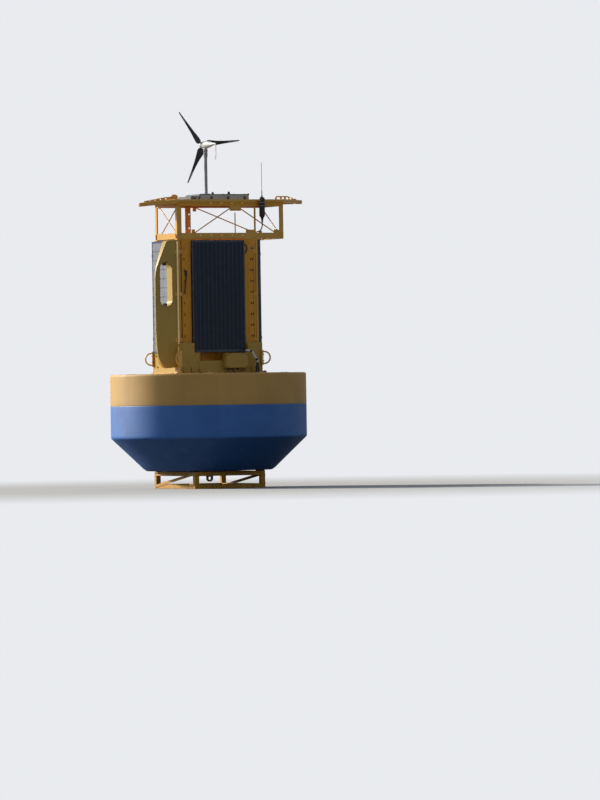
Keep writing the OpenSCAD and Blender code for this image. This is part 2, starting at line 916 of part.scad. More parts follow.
module roof_rims() {
    color("goldenrod") {
        both_sides()
            block([-halo_stern, beam_face + seat, z_roof - lip_h],
                [halo_bow, beam_face + seat + rim_t, z_roof]);
        both_sides() {
            nose_rim(-stern_tip, -halo_stern);
            nose_rim(bow_tip, halo_bow);
        }
    }
}

module roof_tips() {
    color("goldenrod")
        for (x = [-stern_tip + tip_r, bow_tip - tip_r])
            translate([x, 0, z_roof - rim_h])
                cylinder(r = tip_r, h = rim_h + deck_t, $fn = 48);
}

module roof_fins() {
    color("goldenrod") {
        translate([bow_tip - 2 * tip_r - bow_fin_l, fin_t / 2, z_plate])
            rotate([90, 0, 0])
                linear_extrude(fin_t)
                    difference() {
                        polygon([[0, 0], [3, 40], [22, fin_h], [190, fin_h], [bow_fin_l - 15, 16],
                            [bow_fin_l, 0]]);
                        // place along the fin, radius
                        for (hole = [[45, 19], [62, 19], [125, 20], [190, 20], [242, 16], [290, 9]])
                            translate([hole[0], 26])
                                circle(r = hole[1], $fn = 32);
                    }
        translate([-stern_tip + 2 * tip_r + stern_fin_l, fin_t / 2, z_plate])
            rotate([90, 0, 180])
                linear_extrude(fin_t)
                    difference() {
                        polygon([[0, 0], [-20, fin_h], [10, fin_h + 21], [60, fin_h + 23], [90, fin_h - 8],
                            [250, fin_h - 20], [stern_fin_l - 10, 18], [stern_fin_l, 0]]);
                        for (i = [0 : 3])
                            translate([170 + 80 * i, 23 - 3 * i])
                                circle(r = 10 - i, $fn = 24);
                    }
    }
}

module roof_tray() {
    step_x = -tray_stern + tray_step_l;
    color("gray")
        difference() {
            block([-tray_stern, -tray_y, z_plate], [tray_bow, tray_y, z_tray]);
            block([-tray_stern - 1, -tray_y - 1, z_tray - tray_step], [step_x, tray_y + 1, z_tray + 1]);
        }
}

module roof_stubs() {
    color("gold")
        // ahead of the tray, sideways, height
        for (stub = [[80, -60, 80], [108, 40, 60], [50, 90, 70]])
            translate([tray_bow + stub[0], stub[1], z_plate])
                union() {
                    cylinder(r = 2 * stub_r, h = 10, $fn = 32);
                    cylinder(r = stub_r, h = stub[2], $fn = 24);
                }
}

// Antenna

antenna_y = -beam_face - antenna_r - 12;
antenna_low = z_top - 135;
antenna_cone = 22;
antenna_neck = 100;
bracket_low = z_top + 6;
bracket_h = 40;

module antenna_bracket() {
    color("dimgray")
        block([antenna_x - 20, -beam_face - 10, bracket_low],
            [antenna_x + 20, -beam_face, bracket_low + bracket_h]);
}

module antenna_base() {
    color([0.1, 0.1, 0.1])
        translate([antenna_x, antenna_y, 0])
            union() {
                translate([0, 0, antenna_low])
                    cylinder(r = antenna_r, h = antenna_h);
                translate([0, 0, antenna_low + antenna_h])
                    cylinder(r1 = antenna_r, r2 = 10, h = antenna_cone);
                translate([0, 0, antenna_low - 34])
                    cylinder(r1 = 20, r2 = antenna_r, h = 34);
                translate([0, 0, antenna_low - antenna_neck])
                    cylinder(r1 = 11, r2 = 20, h = antenna_neck - 34);
                block([-14, antenna_r - 8, bracket_low - 10], [14, antenna_r + 2, bracket_low + bracket_h + 10]);
            }
}

module antenna_whip() {
    color([0.15, 0.15, 0.16])
        translate([antenna_x, antenna_y, antenna_low + antenna_h + antenna_cone])
            union() {
                cylinder(r = 8, h = 80, $fn = 24);
                cylinder(r = 3.5, h = whip_l, $fn = 24);
            }
}

module antenna_cable() {
    from = [antenna_x, antenna_y, antenna_low - antenna_neck];
    to = [leg_x + 27, -beam_face + 20, z_low_top + antenna_cable_r + 1];
    color([0.1, 0.1, 0.1])
        tube(concat([from], curve(from - [0, 0, 8], from - [0, 0, 90], to + [60, -40, 6], to, 16)),
            antenna_cable_r, 10);
}

// Turbine

module turbine_mast() {
    cup_r = mast_r + cup_wall;
    color("dimgray")
        difference() {
            union() {
                translate([mast_x, 0, z_tray])
                    cylinder(r = mast_foot_r, h = mast_foot_t);
                translate([mast_x, 0, z_tray])
                    cylinder(r = mast_r, h = z_cup - z_tray + 1, $fn = 48);
                translate([mast_x, 0, z_cup - 16])
                    cylinder(r1 = mast_r, r2 = cup_r, h = 16, $fn = 48);
                translate([mast_x, 0, z_cup])
                    cylinder(r = cup_r, h = cup_h, $fn = 48);
            }
            translate([mast_x, 0, z_yaw - spigot_l - 1])
                cylinder(r = spigot_r + pin_gap, h = spigot_l + 2, $fn = 48);
        }
}

// Turns about the mast: spigot, neck, round body along Y and its nose
module turbine_nacelle() {
    color("white")
        difference() {
            union() {
                translate([mast_x, 0, z_yaw - spigot_l])
                    cylinder(r = spigot_r, h = spigot_l + 21, $fn = 48);
                translate([mast_x, 0, z_yaw + 1])
                    cylinder(r1 = mast_r, r2 = mast_r + cup_wall, h = yaw_drop - 20, $fn = 48);
                translate([mast_x, 0, z_rotor])
                    rotate([90, 0, 0])
                        rotate_extrude()
                            polygon([[0, -rotor_out + 34], [30, -rotor_out + 34], [nacelle_r - 6, -rotor_out + 50],
                                [nacelle_r, -20], [nacelle_r, 60], [nacelle_r - 8, 140], [nacelle_r - 20, 220],
                                [16, 300], [12, tail_reach - 10], [8, tail_reach], [0, tail_reach]]);
            }
            translate([mast_x, rotor_out - 94, z_rotor])
                rotate([-90, 0, 0])
                    cylinder(r = shaft_r + pin_gap, h = 80, $fn = 48);
        }
}

module turbine_fin() {
    color("white")
        translate([mast_x + 4, -tail_reach + 60, z_rotor])
            rotate([0, 90, 180])
                linear_extrude(8)
                    polygon([[16 + seat, -10], [12 + seat, 50], [8 + seat, 60], [72, 62], [162, 58], [220, 48],
                        [220, 20], [132, 2]]);
}

// Spins about Y: shaft, hub and round nose
module rotor_hub() {
    color("white")
        translate([mast_x, rotor_out, z_rotor])
            rotate([-90, 0, 0])
                union() {
                    translate([0, 0, -92])
                        cylinder(r = shaft_r, h = 80, $fn = 48);
                    rotate_extrude()
                        polygon([[0, -28], [hub_r - 2, -28], [hub_r, -20], [hub_r, 14], [hub_r - 6, 30],
                            [hub_r - 18, 44], [12, 52], [0, 53]]);
                }
}

// One blade along +X from the hub, in the rotor's plane
module blade() {
    root = hub_r + seat;
    // share of the blade's length, chord, twist, thickness
    stations = [[0, 60, 34, 16], [0.07, 104, 26, 13], [0.2, 96, 19, 10], [0.4, 70, 13, 8],
        [0.66, 46, 8, 6], [0.88, 31, 5, 5], [1, 16, 3, 3]];
    for (i = [0 : len(stations) - 2])
        hull()
            for (st = [stations[i], stations[i + 1]])
                translate([root + st[0] * (rotor_r - root), 0, 0])
                    rotate([st[2], 0, 0])
                        translate([0, -st[3] / 2, -st[1] * 0.35])
                            cube([0.5, st[3], st[1]]);
}

module rotor_blades() {
    color([0.05, 0.05, 0.05])
        translate([mast_x, rotor_out, z_rotor])
            for (i = [0 : 2])
                rotate([0, -blade_angle - 120 * i, 0])
                    blade();
}

stand_sleepers();
stand_crossers();
stand_legs();
stand_bearers();
stand_ties();
stand_braces();
stand_pads();
mooring_plate();
mooring_lug();
hull_lower();
hull_upper();
base_flange();
base_corner_plates();
base_skirts();
lifting_bails();
junction_box();
vent_pipe();
vent_fitting();
leg_feet();
tower_legs();
leg_caps();
pipe_clamps();
vane_clamps();
cross_rails();
perforated_strips();
inner_housing();
housing_latch();
vane();
panel_frames();
panel_laminates();
panel_cable();
halo_lower_beams();
halo_lower_crossbeams();
halo_posts();
halo_upper_beams();
halo_upper_crossbeams();
halo_braces();
halo_gussets();
roof_deck();
roof_rims();
roof_tips();
roof_fins();
roof_tray();
roof_stubs();
antenna_bracket();
antenna_base();
antenna_whip();
antenna_cable();
turbine_mast();
turbine_nacelle();
turbine_fin();
rotor_hub();
rotor_blades();
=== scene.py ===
"""Moored surface buoy on its shore stand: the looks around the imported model.

Metres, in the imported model's own frame: origin on the hull's axis at floor level, +Z up, +X towards
the longer roof nose, -Y towards the side with the junction box.
"""

import json
import math

import bmesh
import bpy
from bpy.props import FloatProperty, FloatVectorProperty, IntProperty, PointerProperty
from mathutils import Matrix, Vector, noise


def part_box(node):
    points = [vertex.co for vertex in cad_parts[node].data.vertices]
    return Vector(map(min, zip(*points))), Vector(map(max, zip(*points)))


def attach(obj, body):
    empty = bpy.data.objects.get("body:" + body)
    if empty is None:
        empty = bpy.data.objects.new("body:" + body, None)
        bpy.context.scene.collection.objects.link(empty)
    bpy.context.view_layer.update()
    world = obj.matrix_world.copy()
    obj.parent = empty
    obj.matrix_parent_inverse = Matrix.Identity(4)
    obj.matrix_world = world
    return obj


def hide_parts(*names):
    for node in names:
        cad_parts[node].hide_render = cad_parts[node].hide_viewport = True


bl_info = {
    "name": "Moored Surface Buoy",
    "version": (1, 0, 0),
    "blender": (4, 5, 0),
    "location": "View3D > Sidebar > Buoy",
    "description": "Builds the looks of a moored surface buoy around its packed model",
    "category": "Object",
}

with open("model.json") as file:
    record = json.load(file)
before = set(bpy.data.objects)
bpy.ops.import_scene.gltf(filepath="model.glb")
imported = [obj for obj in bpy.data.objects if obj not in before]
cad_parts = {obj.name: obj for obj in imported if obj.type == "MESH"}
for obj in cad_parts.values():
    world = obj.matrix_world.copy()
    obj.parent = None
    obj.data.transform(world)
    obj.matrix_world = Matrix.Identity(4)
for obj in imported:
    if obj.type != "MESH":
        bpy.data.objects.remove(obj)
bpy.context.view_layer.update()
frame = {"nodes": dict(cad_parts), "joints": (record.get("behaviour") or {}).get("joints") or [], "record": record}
BOX = {node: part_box(node) for node in frame["nodes"]}

DECK = BOX["hull_upper"][1].z
BASE = BOX["base_flange"][1].z
ROOF = BOX["roof_deck"][1].z
HULL_R = BOX["hull_upper"][1].x
FRONT = Vector((0, -1, 0))
REAR = Vector((0, 1, 0))
BOW = Vector((1, 0, 0))
UP = Vector((0, 0, 1))
DOWN = Vector((0, 0, -1))
# halves of the distances between the tower's legs, and the heights of the clamps on them
LEG_X, LEG_Y = 0.58, 0.36
CLAMPS = (2.092, 2.739, 3.337)
# the base's corners, where the lifting bails stand, and how far out the bails' plates reach
BAIL_X, BAIL_Y = 0.63, 0.48
BAIL_FACE = math.hypot(BAIL_X, BAIL_Y) + 0.0123
# the vane's front face, and where the roof's two noses start
FRONT_SKIN = -0.41
STERN_ROOT, BOW_ROOT = -0.61, 1.03


def linear(code, alpha=None):
    """An sRGB hex colour as the linear values that shaders take."""
    parts = [int(code[i : i + 2], 16) / 255 for i in (0, 2, 4)]
    values = [c / 12.92 if c <= 0.04045 else ((c + 0.055) / 1.055) ** 2.4 for c in parts]
    return tuple(values) if alpha is None else (*values, alpha)


# Sizes and colours that a user would change


def paint(name, description, code):
    """A colour setting whose default is an sRGB hex value."""
    return FloatVectorProperty(
        name=name, description=description, subtype="COLOR", size=3, min=0, max=1, default=linear(code)
    )


def length(name, description, default, low, high):
    """A length setting in metres."""
    return FloatProperty(
        name=name, description=description, default=default, min=low, max=high, unit="LENGTH", precision=4
    )


def strength(name, description, default, high):
    """The strength of a lamp or of the soft light."""
    return FloatProperty(name=name, description=description, default=default, min=0, max=high)


class BuoyPaint(bpy.types.PropertyGroup):
    """Colours of the buoy's finishes."""

    tower: paint("Tower yellow", "Enamel on the tower, the halo and the roof", "F2BA54")
    tower_run: paint("Tower runs", "Dirty runs down the tower's enamel", "8C6A34")
    # the housing orange is painted bounce light, the glow between yellow parts in the tower's shade
    housing: paint("Housing orange", "Deeper enamel on housing, rails, strips and upper beams", "F4AA20")
    hull: paint("Hull yellow", "Skin of the hull's upper band", "D2A24C")
    blue: paint("Hull blue", "Antifouling on the hull's lower band", "216EC4")
    # the cone's darker blue is painted shade for its downward face
    cone: paint("Cone blue", "Antifouling on the cone, darker where it stayed wet", "135092")
    stand: paint("Stand yellow", "Brushed-on paint on the stand", "CF9A2C")
    rust: paint("Rust", "Rust where the stand's paint has chipped", "6B3A1E")
    tray: paint("Tray grey", "Paint on the equipment tray", "85888B")
    cell: paint("Solar cell", "Dark face of the silicon cells", "252C3A")
    blade: paint("Blade", "Filled plastic of the rotor blades", "15161A")


class BuoyDetail(bpy.types.PropertyGroup):
    """Sizes of the small parts."""

    bolt_across: length("Bolt heads", "Width across a bolt head's corners", 0.026, 0.01, 0.05)
    bolt_pitch: length("Bolt pitch", "Distance of the bolts along the base's flange", 0.104, 0.05, 0.3)
    rivet_r: length("Rivet radius", "Radius of the rivet heads", 0.0055, 0.002, 0.012)
    rivet_pitch: length("Rivet pitch", "Distance of rivets along sheet edges", 0.09, 0.04, 0.3)
    bead_r: length("Weld bead", "Radius of the weld beads", 0.005, 0.002, 0.012)
    cell: length("Solar cell", "Side of a square solar cell", 0.125, 0.1, 0.16)
    cell_gap: length("Cell gap", "Gap between solar cells", 0.004, 0.001, 0.02)
    hull_wave: length("Hull wave", "How far the foam hull's skin waves in and out", 0.0022, 0.0, 0.01)
    hull_steps: IntProperty(
        name="Hull steps", description="Steps around the hull", default=220, min=64, max=360
    )


class BuoyStage(bpy.types.PropertyGroup):
    """Floor, backdrop and lamps."""

    backdrop: paint("Backdrop", "Pale backdrop and distant floor", "E9EBEF")
    floor: paint("Floor", "Plain floor under the stand", "D9DBDD")
    ambient: strength("Ambient", "Strength of the soft light", 0.235, 2)
    key: strength("Key lamp", "Strength of the key lamp", 4.0, 10)
    fill: strength("Fill lamp", "Strength of the fill lamp", 1.1, 10)


# Meshes


def facing(place, normal, turn=0.0):
    """A matrix that stands a piece made along +Z on a place, along a normal."""
    return (
        Matrix.Translation(Vector(place))
        @ Vector(normal).to_track_quat("Z", "Y").to_matrix().to_4x4()
        @ Matrix.Rotation(turn, 4, "Z")
    )


def circle(radius, count, start=0.0, sweep=math.tau):
    """Points on an arc or a full circle."""
    full = math.isclose(sweep, math.tau)
    steps = count if full else count - 1
    return [
        (radius * math.cos(start + sweep * i / steps), radius * math.sin(start + sweep * i / steps))
        for i in range(count)
    ]


def smooth_path(points, steps):
    """A smooth path through points, with some steps between each two."""
    points = [Vector(p) for p in points]
    padded = [2 * points[0] - points[1], *points, 2 * points[-1] - points[-2]]
    made = []
    for a, b, c, d in zip(padded, padded[1:], padded[2:], padded[3:]):
        for i in range(steps):
            t = i / steps
            bend = (2 * a - 5 * b + 4 * c - d) * t**2 + (3 * b - a - 3 * c + d) * t**3
            made.append(0.5 * (2 * b + (c - a) * t + bend))
    return made + [points[-1]]


def skin_faces(rings, steps):
    """Faces of a closed skin over rings of points that follow one another, with both its ends."""
    ends = [range(steps - 1, -1, -1), range((rings - 1) * steps, rings * steps)]
    return ends + [
        (i * steps + j, i * steps + (j + 1) % steps, (i + 1) * steps + (j + 1) % steps, (i + 1) * steps + j)
        for i in range(rings - 1)
        for j in range(steps)
    ]


class Work:
    """A mesh in the row frame that solids are added to one after another."""

    def __init__(self):
        self.points = []
        self.faces = []

    def add(self, points, faces, at=None):
        """Points and the faces between them, moved by a matrix."""
        start = len(self.points)
        self.points += [at @ Vector(p) if at else Vector(p) for p in points]
        self.faces += [[start + i for i in face] for face in faces]

    def block(self, one, other, at=None):
        """A block between two opposite corners."""
        (x0, x1), (y0, y1), (z0, z1) = (sorted(pair) for pair in zip(one, other))
        corners = [(x, y, z) for x in (x0, x1) for y in (y0, y1) for z in (z0, z1)]
        sides = [(0, 1, 3, 2), (4, 6, 7, 5), (0, 4, 5, 1), (2, 3, 7, 6), (0, 2, 6, 4), (1, 5, 7, 3)]
        self.add(corners, sides, at)

    def plate(self, outline, bottom, top, at=None):
        """An outline in XY, made thick along Z."""
        n = len(outline)
        points = [(x, y, z) for z in (bottom, top) for x, y in outline]
        walls = [(i, (i + 1) % n, n + (i + 1) % n, n + i) for i in range(n)]
        self.add(points, [range(n - 1, -1, -1), range(n, 2 * n), *walls], at)

    def turned(self, profile, at=None, steps=24, ring=False):
        """A profile of (radius, height) turned about Z; a ring's profile closes on itself."""
        points, rows = [], []
        for radius, height in profile:
            if radius == 0:
                rows.append([len(points)] * steps)
                points.append((0, 0, height))
            else:
                rows.append(range(len(points), len(points) + steps))
                points += [(x, y, height) for x, y in circle(radius, steps)]
        pairs = list(zip(rows, rows[1:])) + ([(rows[-1], rows[0])] if ring else [])
        faces = []
        for low, high in pairs:
            for i in range(steps):
                j = (i + 1) % steps
                face = [low[i], low[j], high[j], high[i]]
                faces.append(list(dict.fromkeys(face)))
        self.add(points, faces, at)

    def pipe(self, path, radius, steps=12):
        """A round rod along a path; the radius may be a list with one value for each point."""
        path = [Vector(p) for p in path]
        radii = radius if isinstance(radius, list) else [radius] * len(path)
        side = (path[1] - path[0]).orthogonal().normalized()
        points = []
        for i, place in enumerate(path):
            run = (path[min(i + 1, len(path) - 1)] - path[max(i - 1, 0)]).normalized()
            side = (side - run * side.dot(run)).normalized()
            other = run.cross(side)
            points += [place + side * x + other * y for x, y in circle(radii[i], steps)]
        self.add(points, skin_faces(len(path), steps))

    def bolt(self, place, normal, across=None, turn=0.0):
        """A hexagon head with its washer and the end of its thread."""
        r = (across or bpy.context.scene.buoy_detail.bolt_across) / 2
        at = facing(place, normal, turn)
        washer = [(0, 0), (1.35 * r, 0), (1.35 * r, 0.16 * r), (1.25 * r, 0.24 * r), (0, 0.24 * r)]
        self.turned(washer, at, 16)
        head = [(0, 0.24 * r), (r, 0.24 * r), (r, 0.95 * r), (0.84 * r, 1.1 * r), (0, 1.1 * r)]
        self.turned(head, at, 6)
        thread = [(0.45 * r, 1.0 * r), (0.45 * r, 1.4 * r), (0.36 * r, 1.5 * r), (0, 1.5 * r)]
        self.turned(thread, at, 10)

    def rivet(self, place, normal):
        """A low domed head."""
        r = bpy.context.scene.buoy_detail.rivet_r
        dome = [(r, 0), (0.92 * r, 0.28 * r), (0.6 * r, 0.55 * r), (0, 0.66 * r)]
        self.turned(dome, facing(place, normal), 10)

    def screw(self, place, normal, r):
        """A pan head with a socket in it."""
        head = [(r, 0), (r, 0.45 * r), (0.75 * r, 0.75 * r), (0.42 * r, 0.8 * r)]
        profile = head + [(0.4 * r, 0.35 * r), (0, 0.35 * r)]
        self.turned(profile, facing(place, normal), 12)

    def bead(self, path, radius=None):
        """A weld bead: a thin rod whose ripples follow the welder's steps."""
        radius = radius or round(bpy.context.scene.buoy_detail.bead_r, 4)
        total = sum((Vector(b) - Vector(a)).length for a, b in zip(path, path[1:]))
        steps = max(6, int(total / (1.6 * radius)))
        points, left = [], [Vector(p) for p in path]
        for i in range(steps + 1):
            want, k = total * i / steps, 0
            while k < len(left) - 2 and want > (left[k + 1] - left[k]).length:
                want -= (left[k + 1] - left[k]).length
                k += 1
            points.append(left[k] + (left[k + 1] - left[k]).normalized() * want)
        ripple = [radius * (1.0 if i % 2 else 0.78) for i in range(len(points))]
        self.pipe(points, ripple, 8)


def finished(mesh, name, finish, body, bevel, sharp, replaced):
    """Makes the piece of a mesh, with its finish, its edges and the body that it moves with."""
    material, slot = material_of(finish)
    mesh.shade_smooth()
    mesh.set_sharp_from_angle(angle=math.radians(sharp))
    mesh.materials.clear()
    mesh.materials.append(material)
    piece = bpy.data.objects.new(name, mesh)
    bpy.context.scene.collection.objects.link(piece)
    if bevel:
        edge = piece.modifiers.new("edges", "BEVEL")
        edge.width = bevel
        edge.segments = 2
        edge.limit_method = "ANGLE"
        edge.angle_limit = math.radians(sharp)
        edge.harden_normals = True
    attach(piece, body)
    if replaced:
        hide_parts(*replaced)


def place(work, name, finish, body="buoy", bevel=0.0, sharp=35, replaced=()):
    """Makes the piece that a Work holds."""
    mesh = bpy.data.meshes.new(name)
    mesh.from_pydata(work.points, [], work.faces)
    bm = bmesh.new()
    bm.from_mesh(mesh)
    bmesh.ops.recalc_face_normals(bm, faces=bm.faces)
    bm.to_mesh(mesh)
    bm.free()
    finished(mesh, name, finish, body, bevel, sharp, replaced)


def dressed(node, finish, bevel=0.002, sharp=35, body="buoy", shape=None, name=""):
    """The node's own shape with welded faces and soft edges, in place of the node."""
    bm = bmesh.new()
    bm.from_mesh(frame["nodes"][node].data)
    bmesh.ops.remove_doubles(bm, verts=bm.verts, dist=2e-5)
    bmesh.ops.dissolve_limit(bm, angle_limit=math.radians(0.5), verts=bm.verts, edges=bm.edges)
    if shape:
        shape(bm)
    name = name or node + "_dressed"
    mesh = bpy.data.meshes.new(name)
    bm.to_mesh(mesh)
    bm.free()
    finished(mesh, name, finish, body, bevel, sharp, (node,))


# Materials

RGBA = {"data_type": "RGBA"}
MULTIPLY = {"operation": "MULTIPLY"}


def rgba(colour):
    """A finish's colour, from the name of a setting or an sRGB hex value."""
    setting = getattr(bpy.context.scene.buoy_paint, colour, None)
    return linear(colour, 1) if setting is None else (*setting, 1)


def add(tree, kind, settings=None, links=()):
    """Adds one shader node. Links go by a socket's name or number, or in the sockets' order. Each is a
    value, a node whose first output is meant, or a node and one of its outputs."""
    made = tree.nodes.new("ShaderNode" + kind)
    for name, value in (settings or {}).items():
        setattr(made, name, value)
    for name, value in links.items() if isinstance(links, dict) else enumerate(links):
        if isinstance(value, bpy.types.Node):
            value = (value, 0)
        if isinstance(value, tuple) and isinstance(value[0], bpy.types.Node):
            tree.links.new(value[0].outputs[value[1]], made.inputs[name])
        else:
            made.inputs[name].default_value = value
    return made


def blank(name):
    """A new material, its tree and the object's own coordinates."""
    material = bpy.data.materials.new(name)
    material.use_nodes = True
    tree = material.node_tree
    tree.nodes.clear()
    return material, tree, (add(tree, "TexCoord"), "Object")


def coated(
    name, colour, tone, run=None, patch=0.35, tone_share=0.5, run_width=0.05, run_share=0.3,
    dust="B5B2A6", dust_share=0.25, rough=0.45, gloss=0.5, coat=0.0, grain=0.0025, relief=0.0002,
    chips=0.0, chip_colour="6B3A1E", low_grime=None, lower=None,
):
    """Paint or plastic: patches of tone, runs down its walls, dust on top, grain and chips.

    Sizes are in metres, and a share is how much of a layer shows at most. low_grime holds its colour, the
    heights between which it thins out, and its share. lower holds another coat's colour and upper edge.
    A MapRange holds a value, the range that counts in it, and what the range's two ends become.
    """
    material, tree, where = blank(name)
    shade = add(tree, "TexNoise", None, {"Vector": where, "Scale": 1 / patch, "Detail": 6.0, "Roughness": 0.62})
    tall = add(tree, "Mapping", None, {"Vector": where, "Scale": (1, 1, 0.09)})
    upright = {"Vector": tall, "Scale": 1 / run_width, "Detail": 4.0, "Roughness": 0.55}
    runs = add(tree, "TexNoise", None, upright)
    height = add(tree, "SeparateXYZ", None, (where,))
    # layers over the first colour, from the bottom up: where each shows, and its colour
    layers = [(add(tree, "MapRange", None, (shade, 0.38, 0.66, 0.0, tone_share)), rgba(tone))]
    if lower:
        ragged = add(tree, "Math", {"operation": "MULTIPLY_ADD"}, (shade, 0.03, (height, "Z")))
        edge = add(tree, "MapRange", None, (ragged, lower[1] + 0.004, lower[1] + 0.026, 1.0, 0.0))
        layers.append((edge, rgba(lower[0])))
    if run:
        layers.append((add(tree, "MapRange", None, (runs, 0.52, 0.74, 0.0, run_share)), rgba(run)))
    if low_grime:
        fade = add(tree, "MapRange", None, ((height, "Z"), low_grime[1], low_grime[2], 1.0, 0.0))
        blotch = add(tree, "MapRange", None, (runs, 0.35, 0.62, 0.1, low_grime[3]))
        layers.append((add(tree, "Math", MULTIPLY, (fade, blotch)), rgba(low_grime[0])))
    normal = add(tree, "SeparateXYZ", None, ((add(tree, "NewGeometry"), "Normal"),))
    flat = add(tree, "MapRange", None, ((normal, "Z"), 0.55, 0.95, 0.0, 1.0))
    dirt = add(tree, "TexNoise", None, {"Vector": where, "Scale": 9.0, "Detail": 8.0, "Roughness": 0.7})
    speck = add(tree, "MapRange", None, (dirt, 0.42, 0.62, 0.0, dust_share))
    layers.append((add(tree, "Math", MULTIPLY, (flat, speck)), rgba(dust)))
    fine = add(tree, "TexNoise", None, {"Vector": where, "Scale": 1 / grain, "Detail": 2.0})
    bump = add(tree, "Bump", None, {"Strength": 0.6, "Distance": relief, "Height": fine})
    if chips:
        flake = add(tree, "TexNoise", None, {"Vector": where, "Scale": 26.0, "Detail": 9.0, "Roughness": 0.68})
        bare = add(tree, "MapRange", None, (flake, 1 - chips, 1 - chips + 0.012, 0.0, 1.0))
        under = add(tree, "Mix", RGBA, {0: fine, 6: rgba(chip_colour), 7: rgba("8F5A30")})
        layers.append((bare, (under, 2)))
        step = add(tree, "Math", {"operation": "SUBTRACT"}, (1.0, bare))
        bump = add(tree, "Bump", None, {"Distance": 0.0006, "Height": step, "Normal": bump})
    tint = rgba(colour)
    for share, layer in layers:
        tint = (add(tree, "Mix", RGBA, {0: share, 6: tint, 7: layer}), 2)
    roughness = add(tree, "MapRange", None, (shade, 0.3, 0.7, max(rough - 0.07, 0.05), rough + 0.1))
    links = {"Base Color": tint, "Roughness": roughness, "Normal": bump, "Specular IOR Level": gloss}
    shader = add(tree, "BsdfPrincipled", None, {**links, "Coat Weight": coat, "Coat Roughness": 0.12})
    add(tree, "OutputMaterial", None, {"Surface": shader})
    return material


def metal(name, colour, stain, rough, stain_share=0.35):
    """Bare metal: fine drawn lines 0.8 mm wide, and stains in blotches."""
    material, tree, where = blank(name)
    blot = add(tree, "TexNoise", None, {"Vector": where, "Scale": 18.0, "Detail": 7.0, "Roughness": 0.65})
    share = add(tree, "MapRange", None, (blot, 0.45, 0.68, 0.0, stain_share))
    tint = add(tree, "Mix", RGBA, {0: share, 6: rgba(colour), 7: rgba(stain)})
    drawn = add(tree, "Mapping", None, {"Vector": where, "Scale": (1, 1, 0.05)})
    lines = add(tree, "TexNoise", None, {"Vector": drawn, "Scale": 1 / 0.0008, "Detail": 2.0})
    bump = add(tree, "Bump", None, {"Strength": 0.35, "Distance": 0.0001, "Height": lines})
    roughness = add(tree, "MapRange", None, (blot, 0.35, 0.7, rough, rough + 0.22))
    links = {"Base Color": (tint, 2), "Roughness": roughness, "Metallic": 1.0, "Normal": bump}
    add(tree, "OutputMaterial", None, {"Surface": add(tree, "BsdfPrincipled", None, links)})
    return material


def silicon(name, colour, tone, glare=0.2, rough=0.34):
    """Silicon cells behind frosted glass: cloudy blue-black with fine silver fingers."""
    material, tree, where = blank(name)
    cloud = add(tree, "TexNoise", None, {"Vector": where, "Scale": 7.0, "Detail": 3.0})
    share = add(tree, "MapRange", None, (cloud, 0.35, 0.65, 0.0, 1.0))
    tint = add(tree, "Mix", RGBA, {0: share, 6: rgba(colour), 7: rgba(tone)})
    # real fingers are 2 mm apart, drawn 8 mm apart so that they show
    bands = {"wave_type": "BANDS", "bands_direction": "Z"}
    finger = add(tree, "TexWave", bands, {"Vector": where, "Scale": 1 / 0.008 / 3.1416})
    line = add(tree, "MapRange", None, ((finger, "Fac"), 0.93, 0.99, 0.0, 0.28))
    lined = add(tree, "Mix", RGBA, {0: line, 6: (tint, 2), 7: rgba("6F7A8C")})
    links = {"Base Color": (lined, 2), "Roughness": rough, "Specular IOR Level": glare}
    add(tree, "OutputMaterial", None, {"Surface": add(tree, "BsdfPrincipled", None, links)})
    return material


